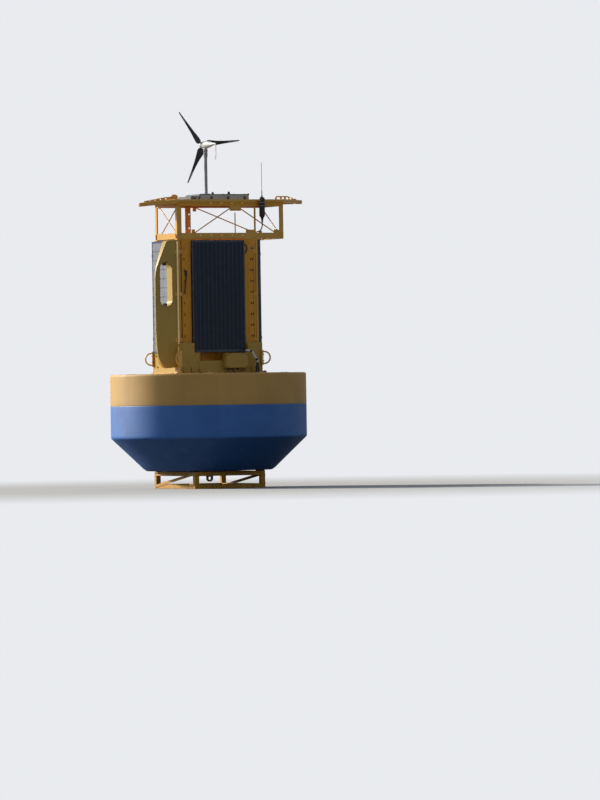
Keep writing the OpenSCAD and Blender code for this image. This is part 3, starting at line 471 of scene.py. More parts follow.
# finish: the record's slot, what makes its material, the material's name, its two colours and settings
FINISHES = {
    # brushed two-pack enamel on welded aluminium: even golden yellow, soft gloss, thin runs of dirt
    "enamel": (
        "yellow_aluminium", coated, "enamel_on_aluminium", "tower", "E0A63E",
        dict(run="tower_run", patch=0.5, rough=0.36, run_share=0.24, coat=0.15),
    ),
    # the same enamel made darker and duller, on the vane and the sheets round the base: dull olive gold, painted
    # shade on these faces turned from the sun
    "flat_enamel": (
        "yellow_aluminium", coated, "flat_enamel_on_sheet", "C6A448", "B5963F",
        dict(run="tower_run", patch=0.5, rough=0.4, run_share=0.2, coat=0.15),
    ),
    # the same enamel out of the sun, on housing, rails, strips and upper beams: deeper and more orange, painted
    # bounce light for the glow that yellow parts throw on one another in shade
    "shaded_enamel": (
        "yellow_aluminium", coated, "unbleached_enamel", "housing", "E39812",
        dict(run="tower_run", patch=0.4, rough=0.34, run_share=0.2),
    ),
    # the same enamel on small rods that hands and shackles rub, chipped to bare metal: glossier, and paler as
    # painted sunlight on them
    "rubbed_enamel": (
        "yellow_aluminium", coated, "rubbed_enamel", "F2CE78", "DDAE52",
        dict(run="tower_run", patch=0.08, rough=0.3, chips=0.34, chip_colour="A7A9A6", coat=0.2),
    ),
    # sprayed elastomer over closed-cell foam: satin, slightly tan, faint upright patches and scuffs
    "hull_yellow": (
        "hull_yellow", coated, "elastomer_yellow", "hull", "BF9346",
        dict(
            run="8F7848", patch=0.6, run_width=0.16, run_share=0.2, rough=0.58, gloss=0.95, grain=0.004,
            relief=0.0005, dust="A79A78", dust_share=0.5, low_grime=("A58E5C", 1.17, 1.3, 0.25),
        ),
    ),
    # antifouling rolled over elastomer: mottled blue, chalky upright patches, and a darker cone, painted shade for
    # the cone's downward face
    "hull_blue": (
        "hull_blue", coated, "antifouling_blue", "blue", "1D60AE",
        dict(
            run="4A83BE", patch=0.45, run_width=0.11, run_share=0.24, rough=0.58, gloss=0.95, grain=0.005,
            relief=0.0007, tone_share=0.7, lower=("cone", 0.715),
        ),
    ),
    # brushed-on enamel over steel tube: dull yellow, chipped to brown rust here and there
    "stand_paint": (
        "yellow_steel", coated, "worn_paint_on_steel", "stand", "A97A22",
        dict(
            run="rust", patch=0.2, run_share=0.5, rough=0.55, relief=0.0006, chips=0.4, dust="8F8268",
            dust_share=0.6,
        ),
    ),
    # moulded rubber pads: nearly black, dusty, dull
    "rubber": (
        "rubber_pad", coated, "moulded_rubber", "232323", "343331", dict(rough=0.8, patch=0.05, relief=0.0004)
    ),
    # hot-rolled stainless plate: dull grey with tea stains
    "steel": ("bare_steel", metal, "stainless_plate", "A9AAA8", "7A5A3C", dict(rough=0.38)),
    # stainless hexagon bolts: bright small heads
    "bolts": ("bare_steel", metal, "stainless_bolts", "B9BAB8", "6E5238", dict(rough=0.28, stain_share=0.5)),
    # extruded PVC pipe: bright white, glossy, faint grey scuffs
    "pvc": (
        "white_pvc", coated, "extruded_pvc", "EDEDE8", "D4D3CB", dict(run="A9A492", rough=0.26, patch=0.06)
    ),
    # drawn metal in bright pale gold: a painted highlight for sunlit edges and for light through holes
    "pale_gold_painted_highlight": (
        "yellow_aluminium", metal, "yellow_chromate_aluminium", "FBDD9E", "D9AC5A",
        dict(rough=0.2, stain_share=0.15),
    ),
    # cast and powder-coated fittings: near black, satin
    "fitting": (
        "dark_fitting", coated, "powder_coated_cast", "2B2C2E", "3F3F3E",
        dict(run="6B6456", rough=0.48, patch=0.05),
    ),
    # clear anodised aluminium: cool grey with drawn lines
    "anodised": (
        "panel_frame", metal, "anodised_aluminium", "4E5462", "3C414D", dict(rough=0.34, stain_share=0.6)
    ),
    # silicon behind frosted glass: blue-black and quiet
    "cells": ("solar_laminate", silicon, "silicon_behind_glass", "cell", "28334A", {}),
    # the same cells on the side panels, paler: painted glare of the low sun on their glass, with a stronger and
    # rougher gloss
    "glare_painted_cells": (
        "solar_laminate", silicon, "silicon_behind_salted_glass", "666D7E", "555E70",
        dict(glare=1.0, rough=0.55),
    ),
    # black back sheet between the cells, behind the same glass
    "back_sheet": ("solar_laminate", silicon, "back_sheet_behind_glass", "1B212E", "28334A", {}),
    # tinned copper ribbon: dull silver-blue lines down the cells
    "ribbon": ("solar_laminate", metal, "tinned_ribbon", "59647A", "475268", dict(rough=0.4)),
    # extruded rubber jacket: even black, dull
    "cable": (
        "cable_rubber", coated, "cable_jacket", "1B1B1C", "2B2B2C", dict(rough=0.5, patch=0.04, relief=0.0001)
    ),
    # two-pack grey paint on sheet: flat cool grey, a little dusty on top
    "tray": (
        "grey_tray", coated, "grey_two_pack", "tray", "777A7D",
        dict(run="66686B", patch=0.25, rough=0.8, gloss=0.1, dust="A6A8A6", dust_share=0.06),
    ),
    # sheet panels screwed to the tray's sides: the same paint, made paler as painted light on these faces
    "tray_panel": (
        "grey_tray", coated, "pale_grey_two_pack", "D2D4D6", "BFC2C4",
        dict(patch=0.25, rough=0.5, dust_share=0.1),
    ),
    # moulded black ABS: even black, satin
    "abs_black": (
        "antenna_black", coated, "moulded_abs_black", "1C1D20", "2A2B2E",
        dict(rough=0.4, patch=0.05, relief=0.0001),
    ),
    # galvanised and painted pipe: pale cool grey
    "pipe_grey": (
        "mast_grey", coated, "painted_pipe_grey", "B2B5BA", "9DA0A5", dict(run="BDBFC2", rough=0.42, patch=0.08)
    ),
    # powder-coated casting: clean white, soft gloss
    "white": (
        "turbine_white", coated, "powder_coat_white", "E2E4E6", "D3D6D8",
        dict(run="A2A4A2", rough=0.34, run_share=0.2, patch=0.1, coat=0.1),
    ),
    # glass-filled nylon: black with a faint grey bloom
    "blade": (
        "blade_black", coated, "filled_nylon_black", "blade", "2C2E33",
        dict(rough=0.42, patch=0.12, relief=0.0001, dust="3A3C40"),
    ),
    # the blades' outer ends, worn grey by rain and salt
    "blade_tip": (
        "blade_black", coated, "worn_nylon_grey", "8E9297", "74787D", dict(rough=0.5, patch=0.05, relief=0.0001)
    ),
}
MADE = {}


def material_of(finish):
    """The finish's material, made when first asked for, and the record's slot that it stands for."""
    slot, make, name, colour, tone, settings = FINISHES[finish]
    if finish not in MADE:
        MADE[finish] = make(name, colour, tone, **settings)
    return MADE[finish], slot


def table(finish, **bevels):
    """Dresses nodes in one finish, each with its bevel in millimetres."""
    for node, bevel in bevels.items():
        dressed(node, finish, bevel / 1000)


def keep_side(bm, side):
    """Keeps the solids on one side of the middle, +1 towards the bow."""
    away = [vert for vert in bm.verts if vert.co.x * side < 0]
    bmesh.ops.delete(bm, geom=away, context="VERTS")


def along(low, high, pitch):
    """Even places from low to high, about a pitch apart."""
    count = max(1, round((high - low) / pitch))
    return [low + (high - low) * i / count for i in range(count + 1)]


# Pieces

SIDES = (1, -1)
CORNERS = ((1, 1), (1, -1), (-1, 1), (-1, -1))


class BUOY_OT_hull(bpy.types.Operator):
    """Builds the foam hull's two coats, the mooring plate and its bolts"""

    bl_idname = "buoy.hull"
    bl_label = "Hull"

    def execute(self, context):
        low, paint_line = BOX["hull_lower"][0].z, BOX["hull_lower"][1].z
        # radius of the flat underside, and the height where the cone meets the wall
        flat, chine = 0.9, 0.72
        slope = Vector((HULL_R - flat, chine - low))
        cone = [(0, low), (0.3, low), (0.6, low), (flat - 0.03, low), (flat - 0.008, low + 0.003)]
        cone += [(flat + 0.006, low + 0.014)]
        cone += [(flat + slope.x * t, low + slope.y * t) for t in (0.06, 0.2, 0.35, 0.5, 0.65, 0.8, 0.92)]
        cone += [(HULL_R - 0.02, chine - 0.019), (HULL_R - 0.006, chine - 0.006)]
        cone += [(HULL_R - 0.001, chine + 0.012)]
        cone += [(HULL_R, z) for z in along(chine + 0.04, paint_line - 0.012, 0.08)]
        cone += [(HULL_R - 0.0005, paint_line - 0.004), (HULL_R - 0.003, paint_line), (0, paint_line)]
        self.skin(context, cone, "hull_skin_blue", "hull_blue", "hull_lower")
        band = [(0, paint_line), (HULL_R - 0.003, paint_line), (HULL_R - 0.0005, paint_line + 0.004)]
        band += [(HULL_R, z) for z in along(paint_line + 0.012, DECK - 0.036, 0.07)]
        edge = 0.026  # radius of the rounded rim
        for angle in (8, 22, 38, 54, 70, 84):
            a = math.radians(angle)
            band.append((HULL_R - edge + edge * math.cos(a), DECK - edge + edge * math.sin(a)))
        band += [(r, DECK) for r in (HULL_R - 0.05, 1.2, 1.0, 0.8, 0.6, 0.3, 0)]
        self.skin(context, band, "hull_skin_yellow", "hull_yellow", "hull_upper")
        self.deck_gear()
        self.underside()
        return {"FINISHED"}

    def skin(self, context, profile, name, finish, node):
        """One coat of the hull, turned, with the slow waves of a hand-laid foam skin."""
        detail = context.scene.buoy_detail
        still = 0.88  # nothing waves within this radius
        work = Work()
        work.turned(profile, steps=detail.hull_steps)
        for point in work.points:
            radius = math.hypot(point.x, point.y)
            if radius > still:
                wave = noise.noise(Vector((point.x * 2.2, point.y * 2.2, point.z * 1.1)))
                inward = detail.hull_wave * (wave - 1.0) * min(1, (radius - still) / 0.3)
                point.x += point.x / radius * inward
                point.y += point.y / radius * inward
        place(work, name, finish, sharp=50, replaced=(node,))

    def deck_gear(self):
        """Flat covers over the tie rods through the foam, and the sealant under the base."""
        covers, screws, plug, seal = Work(), Work(), Work(), Work()
        cover = [(0.062, 0), (0.062, 0.003), (0.056, 0.005), (0, 0.006)]
        for x, y in circle(1.08, 8, math.radians(22.5)):
            covers.turned(cover, Matrix.Translation((x, y, DECK)), 32)
            for u, v in circle(0.046, 4):
                screws.screw((x + u, y + v, DECK + 0.0052), UP, 0.0055)
        cap = [(0.05, 0), (0.05, 0.006), (0.03, 0.009), (0.026, 0.024), (0.018, 0.031), (0, 0.033)]
        plug.turned(cap, Matrix.Translation((0.7, -0.4, DECK)), 32)
        place(plug, "deck_plug", "fitting", bevel=0.0008)
        place(covers, "deck_tie_covers", "enamel")
        place(screws, "deck_cover_screws", "bolts")
        x, y = BOX["base_flange"][1].x + 0.006, BOX["base_flange"][1].y + 0.006
        round_base = ((1, 1), (-1, 1), (-1, -1), (1, -1), (1, 1))
        seal.bead([(sx * x, sy * y, DECK + 0.003) for sx, sy in round_base], 0.007)
        place(seal, "flange_sealant", "rubber")

    def underside(self):
        """The mooring plate's bolts, and the bush in the lug's eye."""
        table("steel", mooring_plate=3, mooring_lug=4)
        bolts, bush = Work(), Work()
        low, high = BOX["mooring_plate"]
        for x, y in circle(high.x - 0.05, 12, math.radians(15)):
            bolts.bolt((x, y, low.z), DOWN, 0.036)
        eye = next(m for m in frame["record"]["mounts"] if m["name"] == "mooring_eye")["pos_m"][2]
        ring = [(0.0245, -0.002), (0.038, -0.002), (0.038, 0.0025), (0.036, 0.004), (0.0265, 0.004)]
        for side in SIDES:
            bush.turned(ring, facing((0, side * BOX["mooring_lug"][1].y, eye), (0, side, 0)), 40, ring=True)
        place(bolts, "mooring_bolts", "bolts")
        place(bush, "mooring_bush", "steel")


class BUOY_OT_stand(bpy.types.Operator):
    """Builds the shore stand with its weld beads, caps and pads"""

    bl_idname = "buoy.stand"
    bl_label = "Stand"

    def execute(self, context):
        table("stand_paint", stand_sleepers=6, stand_crossers=6, stand_legs=5, stand_bearers=6, stand_ties=6)
        table("stand_paint", stand_braces=1.5)
        table("rubber", stand_pads=3)
        beads, caps, bolts = Work(), Work(), Work()
        leg_low, leg_high = BOX["stand_legs"]
        pad_low, pad_high = BOX["stand_pads"]
        tube = 0.035  # half the side of a square tube
        inside = tube - 0.006
        tube_corners = ((-1, -1), (1, -1), (1, 1), (-1, 1), (-1, -1))
        for sx, sy in CORNERS:
            x, y = sx * (leg_high.x - tube), sy * (leg_high.y - tube)
            for z in (leg_low.z, leg_high.z):
                beads.bead([(x + u * tube, y + v * tube, z) for u, v in tube_corners])
            for node in ("stand_bearers", "stand_sleepers"):
                low, high = BOX[node]
                cap = (x - inside, sy * high.y - 0.004, low.z + 0.008)
                caps.block(cap, (x + inside, sy * high.y + 0.0005, high.z - 0.008))
            for share in (0.25, 0.75):
                spot = (sx * leg_high.x, sy * (pad_high.y - 0.17 * share), pad_low.z - 0.02)
                bolts.bolt(spot, (sx, 0, 0), 0.022)
        place(beads, "stand_welds", "stand_paint", sharp=60)
        place(caps, "stand_tube_caps", "stand_paint", bevel=0.0003)
        place(bolts, "stand_pad_bolts", "bolts")
        return {"FINISHED"}


class BUOY_OT_base(bpy.types.Operator):
    """Builds the bolted base, lifting bails, junction box and vent"""

    bl_idname = "buoy.base"
    bl_label = "Base"

    def execute(self, context):
        table("enamel", base_flange=2)
        # the corner plates and skirts take the darker enamel of painted shade
        table("flat_enamel", base_corner_plates=1.5, base_skirts=1.5)
        # the bails are paler with painted sunlight
        table("rubbed_enamel", lifting_bails=1.5)
        # the junction box takes the darker enamel of painted shade
        table("flat_enamel", junction_box=7)
        table("fitting", vent_fitting=1.5)
        pitch = context.scene.buoy_detail.bolt_pitch
        bolts, ribs, plates = Work(), Work(), Work()
        x, y = BOX["base_flange"][1].x, BOX["base_flange"][1].y
        # bolts along the flange's outer edge, its inner edge and its ends
        for side in SIDES:
            for u in along(-x + 0.03, x - 0.03, pitch):
                bolts.bolt((u, side * (y - 0.024), BASE), UP, turn=u * 40)
            for u in along(-0.47, 0.47, 2 * pitch):
                bolts.bolt((u, side * 0.446, BASE), UP, turn=u * 25)
            for v in along(-0.24, 0.24, 2 * pitch):
                bolts.bolt((side * 0.585, v, BASE), UP, turn=v * 31)
        corner, wall = BOX["base_corner_plates"][1].x, BOX["base_corner_plates"][1].y
        # bolts of a corner plate: distance from its corner, and height over the deck
        on_front = [(0.024, 0.38), (0.024, 0.16), (0.2, 0.38), (0.23, 0.265), (0.12, 0.17)]
        on_front += [(0.262, 0.16), (0.262, 0.05)]
        on_end = ((0.03, 0.4), (0.1, 0.26), (0.15, 0.1))
        rib = [(0, 0), (0.05, 0), (0.05, 0.012), (0.012, 0.085), (0, 0.085)]
        for sx, sy in CORNERS:
            for u in (0.05, 0.17, 0.3):
                foot = sx * (corner - u)
                at = Matrix(((0, 0, sx, foot), (sy, 0, 0, sy * wall), (0, 1, 0, BASE), (0, 0, 0, 1)))
                ribs.plate(rib, -0.004, 0.004, at)
            for u, z in on_front:
                plates.bolt((sx * (corner - u), sy * wall, DECK + z), (0, sy, 0), 0.024, u * 50)
            for v, z in on_end:
                plates.bolt((sx * corner, sy * (wall - v), DECK + z), (sx, 0, 0), 0.024, v * 50)
            self.bail_bolts(bolts, sx, sy)
            for u in (0.035, -0.023):
                for v in (0.05, -0.05):
                    foot = (sx * (LEG_X - u), sy * (LEG_Y + v), BOX["leg_feet"][1].z)
                    bolts.bolt(foot, UP, 0.02, u * 60)
        # the base's bolts are paler with painted sunlight
        place(bolts, "base_bolts", "rubbed_enamel")
        # the plates' bolts and the ribs take the darker enamel of painted shade
        place(plates, "plate_bolts", "flat_enamel")
        place(ribs, "base_ribs", "flat_enamel", bevel=0.001)
        self.skirt_welds(corner, wall)
        self.box()
        self.vent()
        return {"FINISHED"}

    def bail_bolts(self, bolts, sx, sy):
        """Four small bolts through the foot of a lifting bail."""
        back = Vector((sx * BAIL_X, sy * BAIL_Y, 0)).normalized()
        across = back.cross(UP)
        for side in SIDES:
            for z in (-0.045, 0.045):
                spot = back * (BAIL_FACE + 0.0005) + across * side * 0.022 + UP * (DECK + 0.215 + z)
                bolts.bolt(spot, back, 0.017, z * 9)

    def skirt_welds(self, corner, wall):
        """Beads round the skirts' feet and up the corners."""
        beads = Work()
        x, y = corner + 0.002, wall + 0.002
        for side in SIDES:
            beads.bead([(-corner, side * y, BASE), (corner, side * y, BASE)])
            beads.bead([(side * x, -wall, BASE), (side * x, wall, BASE)])
        top = BOX["base_corner_plates"][1].z - 0.004
        for sx, sy in CORNERS:
            beads.bead([(sx * corner, sy * wall, BASE), (sx * corner, sy * wall, top)])
        place(beads, "base_welds", "enamel", sharp=60)

    def box(self):
        """Lid, corner screws, hinges and cable glands of the junction box."""
        low, high = BOX["junction_box"]
        lid, gear = Work(), Work()
        inset = 0.006
        lid_low = (low.x + inset, low.y - 0.005, low.z + inset)
        lid.block(lid_low, (high.x - inset, low.y + 0.004, high.z - inset))
        for x in (low.x + 0.022, high.x - 0.022):
            for z in (low.z + 0.022, high.z - 0.022):
                gear.screw((x, low.y - 0.005, z), FRONT, 0.0075)
        hinge = [(0, -0.018), (0.006, -0.018), (0.006, 0.018), (0, 0.018)]
        for x in (low.x + 0.07, high.x - 0.07):
            gear.turned(hinge, facing((x, low.y - 0.004, high.z), BOW), 14)
        gland = [(0, 0), (0.016, 0), (0.016, 0.01), (0.012, 0.014), (0.012, 0.024), (0.008, 0.028), (0, 0.028)]
        for x in (low.x + 0.06, low.x + 0.12, low.x + 0.2):
            y = low.y + 0.05
            gear.turned(gland, facing((x, y, low.z), DOWN), 12)
            lead = [(x, y, low.z - 0.02), (x + 0.004, y, low.z - 0.04), (x + 0.01, y, BASE + 0.006)]
            gear.pipe(lead, 0.005, 8)
        # the lid takes the darker enamel of painted shade
        place(lid, "junction_lid", "flat_enamel", bevel=0.003)
        place(gear, "junction_gear", "fitting", bevel=0.0005)

    def vent(self):
        """White gooseneck with its sockets, from the box to the dark fitting."""
        low, high = BOX["vent_fitting"]
        box_low, box_high = BOX["junction_box"]
        start = Vector((box_high.x - 0.021, box_low.y + 0.04, box_high.z))
        end = Vector(((low.x + high.x) / 2, (low.y + high.y) / 2, high.z))
        # how far the path's points stand from the start, and from the end
        rise = ((0, 0, 0), (0, 0, 0.012), (0.012, 0, 0.029), (0.05, -0.005, 0.032), (0.1, -0.016, 0.012))
        fall = ((-0.03, 0.008, 0.098), (-0.004, 0, 0.05), (0, 0, 0))
        path = smooth_path([start + Vector(p) for p in rise] + [end + Vector(p) for p in fall], 5)
        pipe, sockets, bolts = Work(), Work(), Work()
        pipe.pipe(path, 0.0145, 20)
        socket = [(0, 0), (0.019, 0), (0.019, 0.026), (0.0165, 0.03), (0, 0.03)]
        for i in (0, len(path) // 2 - 1, len(path) * 3 // 4, len(path) - 3):
            sockets.turned(socket, facing(path[i], (path[i + 1] - path[i]).normalized()), 24)
        place(pipe, "vent_gooseneck", "pvc", replaced=("vent_pipe",))
        place(sockets, "vent_sockets", "fitting", bevel=0.0005)
        for x, y in circle(0.037, 6):
            bolts.bolt((end.x + x, end.y + y, DECK + 0.012), UP, 0.011)
        place(bolts, "vent_bolts", "bolts")


class BUOY_OT_tower(bpy.types.Operator):
    """Builds the tower's legs, clamps, rails, strips and inner housing"""

    bl_idname = "buoy.tower"
    bl_label = "Tower"

    def execute(self, context):
        table("enamel", leg_feet=2, tower_legs=1, leg_caps=2, pipe_clamps=2, vane_clamps=1.5)
        # the rails and the housing take the orange of painted bounce light
        table("shaded_enamel", cross_rails=3, inner_housing=8)
        table("fitting", housing_latch=2)
        beads, ears, bolts, studs = Work(), Work(), Work(), Work()
        low, high = BOX["leg_feet"][1].z, BOX["leg_caps"][0].z
        strip_low, strip_high = BOX["perforated_strips"]
        for sx, sy in CORNERS:
            centre = Vector((sx * LEG_X, sy * LEG_Y, 0))
            # the bead overlaps its own start
            ring = circle(0.031, 17, 0, math.tau * 16 / 17 + 0.37)
            for z in (low + 0.002, high - 0.002):
                beads.bead([(centre.x + x, centre.y + y, z) for x, y in ring])
            inward = Vector((-sx, -sy, 0)).normalized()
            across = inward.cross(UP)
            for z in CLAMPS:
                at = Matrix((inward, across, UP)).transposed().to_4x4()
                at.translation = centre + UP * z
                for side in SIDES:
                    ears.block((0.039, side * 0.002, -0.026), (0.068, side * 0.009, 0.026), at)
                for dz in (-0.014, 0.014):
                    spot = centre + inward * 0.056 + UP * (z + dz)
                    bolts.bolt(spot + across * 0.009, across, 0.014)
                    bolts.bolt(spot - across * 0.009, -across, 0.014)
            for z in along(strip_low.z + 0.02, strip_high.z - 0.02, 0.31):
                bolts.bolt((sx * (strip_high.x - 0.053), sy * strip_high.y, z), (0, sy, 0), 0.016, z)
        # dark studs beside the bow strips' holes: painted shade, dark dots standing in for shadowed holes
        for sy in SIDES:
            for i in range(10):
                spot = (0.5435, sy * (strip_high.y - 0.0012), strip_low.z + 0.04 + 0.155 * i)
                studs.bolt(spot, (0, sy, 0), 0.0175, i)
        place(studs, "strip_bolts", "fitting")
        place(beads, "leg_welds", "enamel", sharp=60)
        place(ears, "clamp_ears", "enamel", bevel=0.0012)
        place(bolts, "clamp_bolts", "enamel")
        self.rail_ends()
        self.flanges()
        self.housing(context.scene.buoy_detail.rivet_pitch)
        return {"FINISHED"}

    def rail_ends(self):
        """Short cleats with bolts where the cross rails meet the clamps."""
        cleats, bolts = Work(), Work()
        for z in (CLAMPS[0], CLAMPS[2]):
            for sx, sy in CORNERS:
                y, x = sy * 0.345, sx * 0.578
                cleats.block((sx * 0.47, y - 0.004, z - 0.03), (sx * 0.535, y + 0.004, z + 0.03))
                bolts.bolt((sx * 0.5, sy * 0.341, z), (0, -sy, 0), 0.018)
                cleats.block((x - 0.004, sy * 0.25, z - 0.03), (x + 0.004, sy * 0.314, z + 0.03))
                bolts.bolt((sx * 0.574, sy * 0.28, z), (-sx, 0, 0), 0.018)
        place(cleats, "rail_cleats", "enamel", bevel=0.0015)
        place(bolts, "rail_bolts", "enamel")

    def flanges(self):
        """The strips, their flanges, the corner closers, and the lever that hangs at the front."""
        low, high = BOX["perforated_strips"]
        # both halves of the strips take the orange of painted bounce light
        for side, name in ((1, ""), (-1, "stern_strips_dressed")):
            half = lambda bm: keep_side(bm, side)  # noqa: E731
            dressed("perforated_strips", "shaded_enamel", 0.0008, shape=half, name=name)
        inner, closers, lever = Work(), Work(), Work()
        back, face = high.y - 0.006, high.y - 0.0012
        top = BOX["halo_lower_beams"][0].z - 0.001
        edge = BOX["panel_frames"][1].x - 0.044
        # flanges on both sides of the holes, and a bridge over the strip's end
        runs = ((0.4095, 0.4698, low.z), (0.5352, 0.55, low.z), (0.4698, 0.5352, high.z - 0.002))
        for sx, sy in CORNERS:
            for near, far, foot in runs:
                inner.block((sx * near, sy * back, foot), (sx * far, sy * face, top))
            closers.block((sx * 0.588, sy * 0.3985, low.z), (sx * edge, sy * 0.4025, top))
        # the flanges take the orange of painted bounce light
        place(inner, "strip_flanges", "shaded_enamel", bevel=0.0008)
        place(closers, "corner_closers", "enamel", bevel=0.0008)
        # the lever's place, and its bends: aside, outwards, height
        x, y = -0.502, -high.y
        path = [(0.012, 0.004, 3.05), (0.012, 0.018, 3.03), (0.01, 0.02, 2.97), (-0.004, 0.02, 2.86)]
        path += [(-0.012, 0.02, 2.78), (-0.008, 0.018, 2.745)]
        lever.pipe(smooth_path([(x + u, y - v, z) for u, v, z in path], 6), 0.0085, 12)
        lever.block((x - 0.006, y - 0.012, 3.0), (x + 0.03, y - 0.0002, 3.075))
        place(lever, "door_lever", "fitting", bevel=0.001, sharp=50)

    def housing(self, pitch):
        """Door frames, hinges, rivets, ribs, wings and lips on the inner housing."""
        low, high = BOX["inner_housing"]
        trim, gear, rivets = Work(), Work(), Work()
        pin = [(0, -0.045), (0.008, -0.045), (0.008, 0.045), (0, 0.045)]
        for side in SIDES:
            face = side * high.y
            near, far = face - side * 0.002, face + side * 0.006
            for x in (low.x + 0.03, high.x - 0.06):
                trim.block((x, near, low.z + 0.1), (x + 0.03, far, high.z - 0.04))
            for z in (low.z + 0.1, high.z - 0.07):
                trim.block((low.x + 0.03, near, z), (high.x - 0.03, far, z + 0.03))
            rib = far - 0.001 if side > 0 else far
            for x in (-0.18, 0.18):
                trim.block((x - 0.02, near, low.z + 0.14), (x + 0.02, rib, high.z - 0.08))
            for x in (low.x + 0.015, high.x - 0.015):
                for z in along(low.z + 0.06, high.z - 0.05, pitch):
                    rivets.rivet((x, face, z), (0, side, 0))
            hinge = high.x - 0.045
            for z in (low.z + 0.35, (low.z + high.z) / 2, high.z - 0.35):
                gear.turned(pin, facing((hinge, face + side * 0.008, z), UP), 16)
                gear.block((high.x - 0.09, face, z - 0.04), (hinge, face + side * 0.008, z + 0.04))
        for side in SIDES:
            face = side * high.x
            for y in (-0.12, 0.12):
                trim.block((face, y - 0.02, low.z + 0.12), (face + side * 0.006, y + 0.02, high.z - 0.08))
            for y in (low.y + 0.015, high.y - 0.015):
                for z in along(low.z + 0.06, high.z - 0.05, pitch):
                    rivets.rivet((face, y, z), (side, 0, 0))
        for sx, sy in CORNERS:
            wing = (sx * (high.x - 0.002), sy * high.y, low.z + 0.36)
            trim.block(wing, (sx * (high.x + 0.052), sy * (high.y - 0.006), high.z - 0.02))
        for side in SIDES:
            header = (low.x - 0.05, side * (high.y - 0.03), high.z - 0.03)
            trim.block(header, (high.x + 0.05, side * (high.y - 0.036), high.z + 0.07))
        lip, foot, top = 0.006, high.z - 0.006, high.z + 0.004
        trim.block((low.x - lip, low.y - lip, foot), (high.x + lip, low.y + 0.002, top))
        trim.block((low.x - lip, high.y - 0.002, foot), (high.x + lip, high.y + lip, top))
        # the housing's trim, hinges and rivets take the orange of painted bounce light
        place(trim, "housing_trim", "shaded_enamel", bevel=0.0015)
        place(gear, "housing_hinges", "shaded_enamel", bevel=0.001)
        place(rivets, "housing_rivets", "shaded_enamel")


def rear_skin(x):
    """Where the vane's slanting rear face stands at a place along X."""
    return -0.38 + 0.17 * (x + 0.963) / 0.273


class BUOY_OT_vane(bpy.types.Operator):
    """Builds the steering vane with its slot's rims and tabs, its rivets and its rod"""

    bl_idname = "buoy.vane"
    bl_label = "Vane"

    def execute(self, context):
        pitch = context.scene.buoy_detail.rivet_pitch
        # the vane takes the darker enamel of painted shade
        dressed("vane", "flat_enamel", 0.006, 40)
        face = BOX["vane"][0].y
        tabs, rivets, rim, bolts, rod = Work(), Work(), Work(), Work(), Work()
        # the slot's middle, width and height, then half the length of a straight side
        slot_x, slot_z, slot_w, slot_h = -0.797, 2.88, 0.182, 0.62
        straight = (slot_h - slot_w) / 2
        arc = [(x, y + straight) for x, y in circle(slot_w / 2 + 0.012, 17, 0, math.pi)]
        outline = arc + [(-x, -y) for x, y in arc]
        for skin in (lambda x: face, rear_skin):
            path = [(slot_x + u, skin(slot_x + u), slot_z + v) for u, v in outline]
            rim.pipe([*path, path[0]], 0.0045, 8)
        inner = rear_skin(slot_x) - 0.03
        knob = [(0, 0), (0.011, 0), (0.011, 0.012), (0, 0.012)]
        for side in SIDES:
            z = slot_z + side * slot_h / 2
            for y in (inner, face + 0.04):
                tabs.block((slot_x - 0.016, y - 0.02, z - side * 0.045), (slot_x + 0.016, y, z))
            tabs.turned(knob, facing((slot_x, inner, z - side * 0.03), REAR), 14)
        for z in along(1.76, 3.44, pitch):
            rivets.rivet((-0.648, FRONT_SKIN, z), FRONT)
            rivets.rivet((-0.671, FRONT_SKIN, z + pitch / 2), FRONT)
        # the rod's bright pale gold is a painted highlight for the sunlit edge of the leg beside the vane
        rod_x = -0.6255
        # distance from the vane's face, and height
        bends = [(0.004, 1.79), *((0.012, z) for z in (1.82, *along(1.9, 3.4, 0.1), 3.45)), (0.004, 3.48)]
        rod.pipe([(rod_x, face - off, z) for off, z in bends], 0.0155, 20)
        for z in CLAMPS:
            for x in (-0.6, -0.645):
                for dz in (-0.015, 0.015):
                    bolts.bolt((x, BOX["vane_clamps"][0].y, z + dz), FRONT, 0.014, z)
            rod.block((-0.637, face - 0.0245, z - 0.028), (-0.614, face - 0.0005, z + 0.028))
        place(rod, "vane_rod", "pale_gold_painted_highlight", bevel=0.001, sharp=50)
        # the slot's rims and the rivets take the darker enamel of painted shade
        place(rim, "vane_slot_rims", "flat_enamel")
        place(tabs, "vane_slot_tabs", "fitting", bevel=0.002)
        place(rivets, "vane_rivets", "flat_enamel")
        # the vane's bolts are paler with painted sunlight
        place(bolts, "vane_bolts", "rubbed_enamel")
        return {"FINISHED"}


